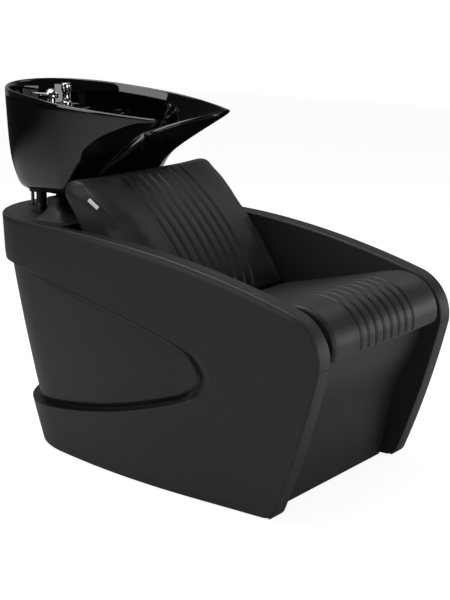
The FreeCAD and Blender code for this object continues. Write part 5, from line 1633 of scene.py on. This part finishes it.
def floor_material():
    # White studio floor: white to the camera with the unit's soft shadow left on it;
    # in reflections it carries a painted pool of light, bright near the unit and falling off to dark
    tree, place_at = start_material("pale_floor")
    path = add(tree, "ShaderNodeLightPath")
    shifted = add(tree, "ShaderNodeMapping", {"Location": (0.6, -0.4, 0.0)},
                  {"Vector": (place_at, "Object")})
    reach = add(tree, "ShaderNodeVectorMath", {"operation": "LENGTH"}, {0: (shifted, "Vector")})
    # Painted pool of light: to glossy rays the floor's tone is FLOOR_TONE near the unit and fades to 0.1
    # further out, while diffuse rays get the even tone
    near = add(tree, "ShaderNodeMapRange",
               {"From Min": 3.0, "From Max": 4.8, "To Min": FLOOR_TONE, "To Max": 0.1,
                "interpolation_type": "SMOOTHSTEP"},
               {"Value": (reach, "Value")})
    wide = add(tree, "ShaderNodeMath", {"operation": "MULTIPLY", 1: FLOOR_TONE},
               {0: (path, "Is Diffuse Ray")})
    pale = add(tree, "ShaderNodeMath", {"operation": "MAXIMUM"}, {0: (near, "Result"), 1: (wide, "Value")})
    shade = add(tree, "ShaderNodeCombineColor", None,
                {channel: (pale, "Value") for channel in ("Red", "Green", "Blue")})
    bounce = add(tree, "ShaderNodeBsdfDiffuse", None, {"Color": (shade, "Color")})
    glow = add(tree, "ShaderNodeEmission", {"Color": (1, 1, 1, 1), "Strength": 0.88})
    shadow = add(tree, "ShaderNodeBsdfDiffuse", {"Color": (0.4, 0.4, 0.4, 1)})
    seen = add(tree, "ShaderNodeAddShader", None, {0: (glow, "Emission"), 1: (shadow, "BSDF")})
    mixed = add(tree, "ShaderNodeMixShader", None,
                {"Fac": (path, "Is Camera Ray"), 1: (bounce, "BSDF"), 2: (seen, "Shader")})
    output(tree, mixed)


class SetStage(bpy.types.Operator):
    """Floor, studio light and the camera"""
    bl_idname = "backwash.set_stage"
    bl_label = "Stage"

    def execute(self, context):
        scene = context.scene
        look = scene.stage_look
        scene.view_settings.view_transform = "Standard"
        world = bpy.data.worlds.new("studio")
        scene.world = world
        world.use_nodes = True
        tree = world.node_tree
        tree.nodes.clear()
        path = add(tree, "ShaderNodeLightPath")
        seen = add(tree, "ShaderNodeMath", {"operation": "MAXIMUM"},
                   {0: (path, "Is Camera Ray"), 1: (path, "Is Transmission Ray")})
        heading = add(tree, "ShaderNodeTexCoord")
        beyond = add(tree, "ShaderNodeVectorMath", {"operation": "DOT_PRODUCT", 1: (0.79, 0.61, 0.0)},
                     {0: (heading, "Generated")})
        backdrop = add(tree, "ShaderNodeMapRange",
                       {"From Min": 0.6, "From Max": 0.9, "To Min": 0.04, "To Max": 0.3,
                        "interpolation_type": "SMOOTHSTEP"},
                       {"Value": (beyond, "Value")})
        dim = add(tree, "ShaderNodeMapRange", {"To Min": 0.22},
                  {"Value": (path, "Is Glossy Ray"), "To Max": (backdrop, "Result")})
        strength = add(tree, "ShaderNodeMapRange", {"To Max": 1.0},
                       {"Value": (seen, "Value"), "To Min": (dim, "Result")})
        sky = add(tree, "ShaderNodeBackground", {"Color": (1, 1, 1, 1)}, {"Strength": (strength, "Result")})
        add(tree, "ShaderNodeOutputWorld", None, {"Surface": (sky, "Background")})
        floor_mesh = grid_mesh("floor", [[(-9, -9, 0), (9, -9, 0)], [(-9, 9, 0), (9, 9, 0)]])
        floor_material()
        floor_mesh.materials.append(materials["pale_floor"])
        floor = linked("floor", floor_mesh)
        area_light("top", (-0.3, 0.7, 3.2), (-0.1, 0.2, 0.6), 2.4, 2.4, look.key_power)
        area_light("front", (-0.9, -3.6, 1.0), (0, -0.2, 0.45), 2.0, 1.0, 1.5 * look.fill_power)
        side = area_light("side", (-3.6, -0.8, 0.9), (0, 0.1, 0.5), 2.0, 1.0, 0.3 * look.fill_power)
        side.visible_glossy = False
        area_light("right", (3.0, -2.4, 0.6), (0, -0.5, 0.4), 2.4, 1.1, 1.1 * look.fill_power)
        area_light("far", (2.6, -0.6, 2.6), (0, 0.3, 0.7), 1.6, 1.2, 0.3 * look.fill_power)
        card = area_light("card", (-3.7, 2.2, 2.7), (0.2, 0.35, 0.95), 2.1, 3.2, 3.0 * look.fill_power)
        card.visible_diffuse = False
        camera_data = bpy.data.cameras.new("camera")
        camera_data.lens = CAMERA_LENS
        camera_data.sensor_width = CAMERA_SENSOR
        camera = linked("camera", camera_data)
        camera.location = CAMERA_PLACE
        camera.rotation_euler = [math.radians(angle) for angle in CAMERA_TURN]
        scene.camera = camera
        return {"FINISHED"}


OPERATORS = (MakeMaterials, DressFrame, BuildShell, BuildTrims, BuildDeck, BuildFrontPanel, BuildSeat,
             BuildBack, BuildBasin, BuildTaps, BuildHoses, SetStage)
LOOKS = (("body_look", BodyLook), ("cushion_look", CushionLook), ("stage_look", StageLook))


class BackwashPanel(bpy.types.Panel):
    """The unit's sizes and build steps"""
    bl_idname = "VIEW3D_PT_backwash"
    bl_label = "Backwash unit"
    bl_space_type = "VIEW_3D"
    bl_region_type = "UI"
    bl_category = "Backwash"

    def draw(self, context):
        for name, group in LOOKS:
            for key in group.__annotations__:
                self.layout.prop(getattr(context.scene, name), key)
        for operator in OPERATORS:
            self.layout.operator(operator.bl_idname)


def register():
    for name, group in LOOKS:
        bpy.utils.register_class(group)
        setattr(bpy.types.Scene, name, bpy.props.PointerProperty(type=group))
    for cls in OPERATORS + (BackwashPanel,):
        bpy.utils.register_class(cls)


def unregister():
    for cls in reversed(OPERATORS + (BackwashPanel,)):
        bpy.utils.unregister_class(cls)
    for name, group in reversed(LOOKS):
        delattr(bpy.types.Scene, name)
        bpy.utils.unregister_class(group)


def main():
    register()
    for operator in OPERATORS:
        group, name = operator.bl_idname.split(".")
        getattr(getattr(bpy.ops, group), name)()


if __name__ == "__main__":
    main()
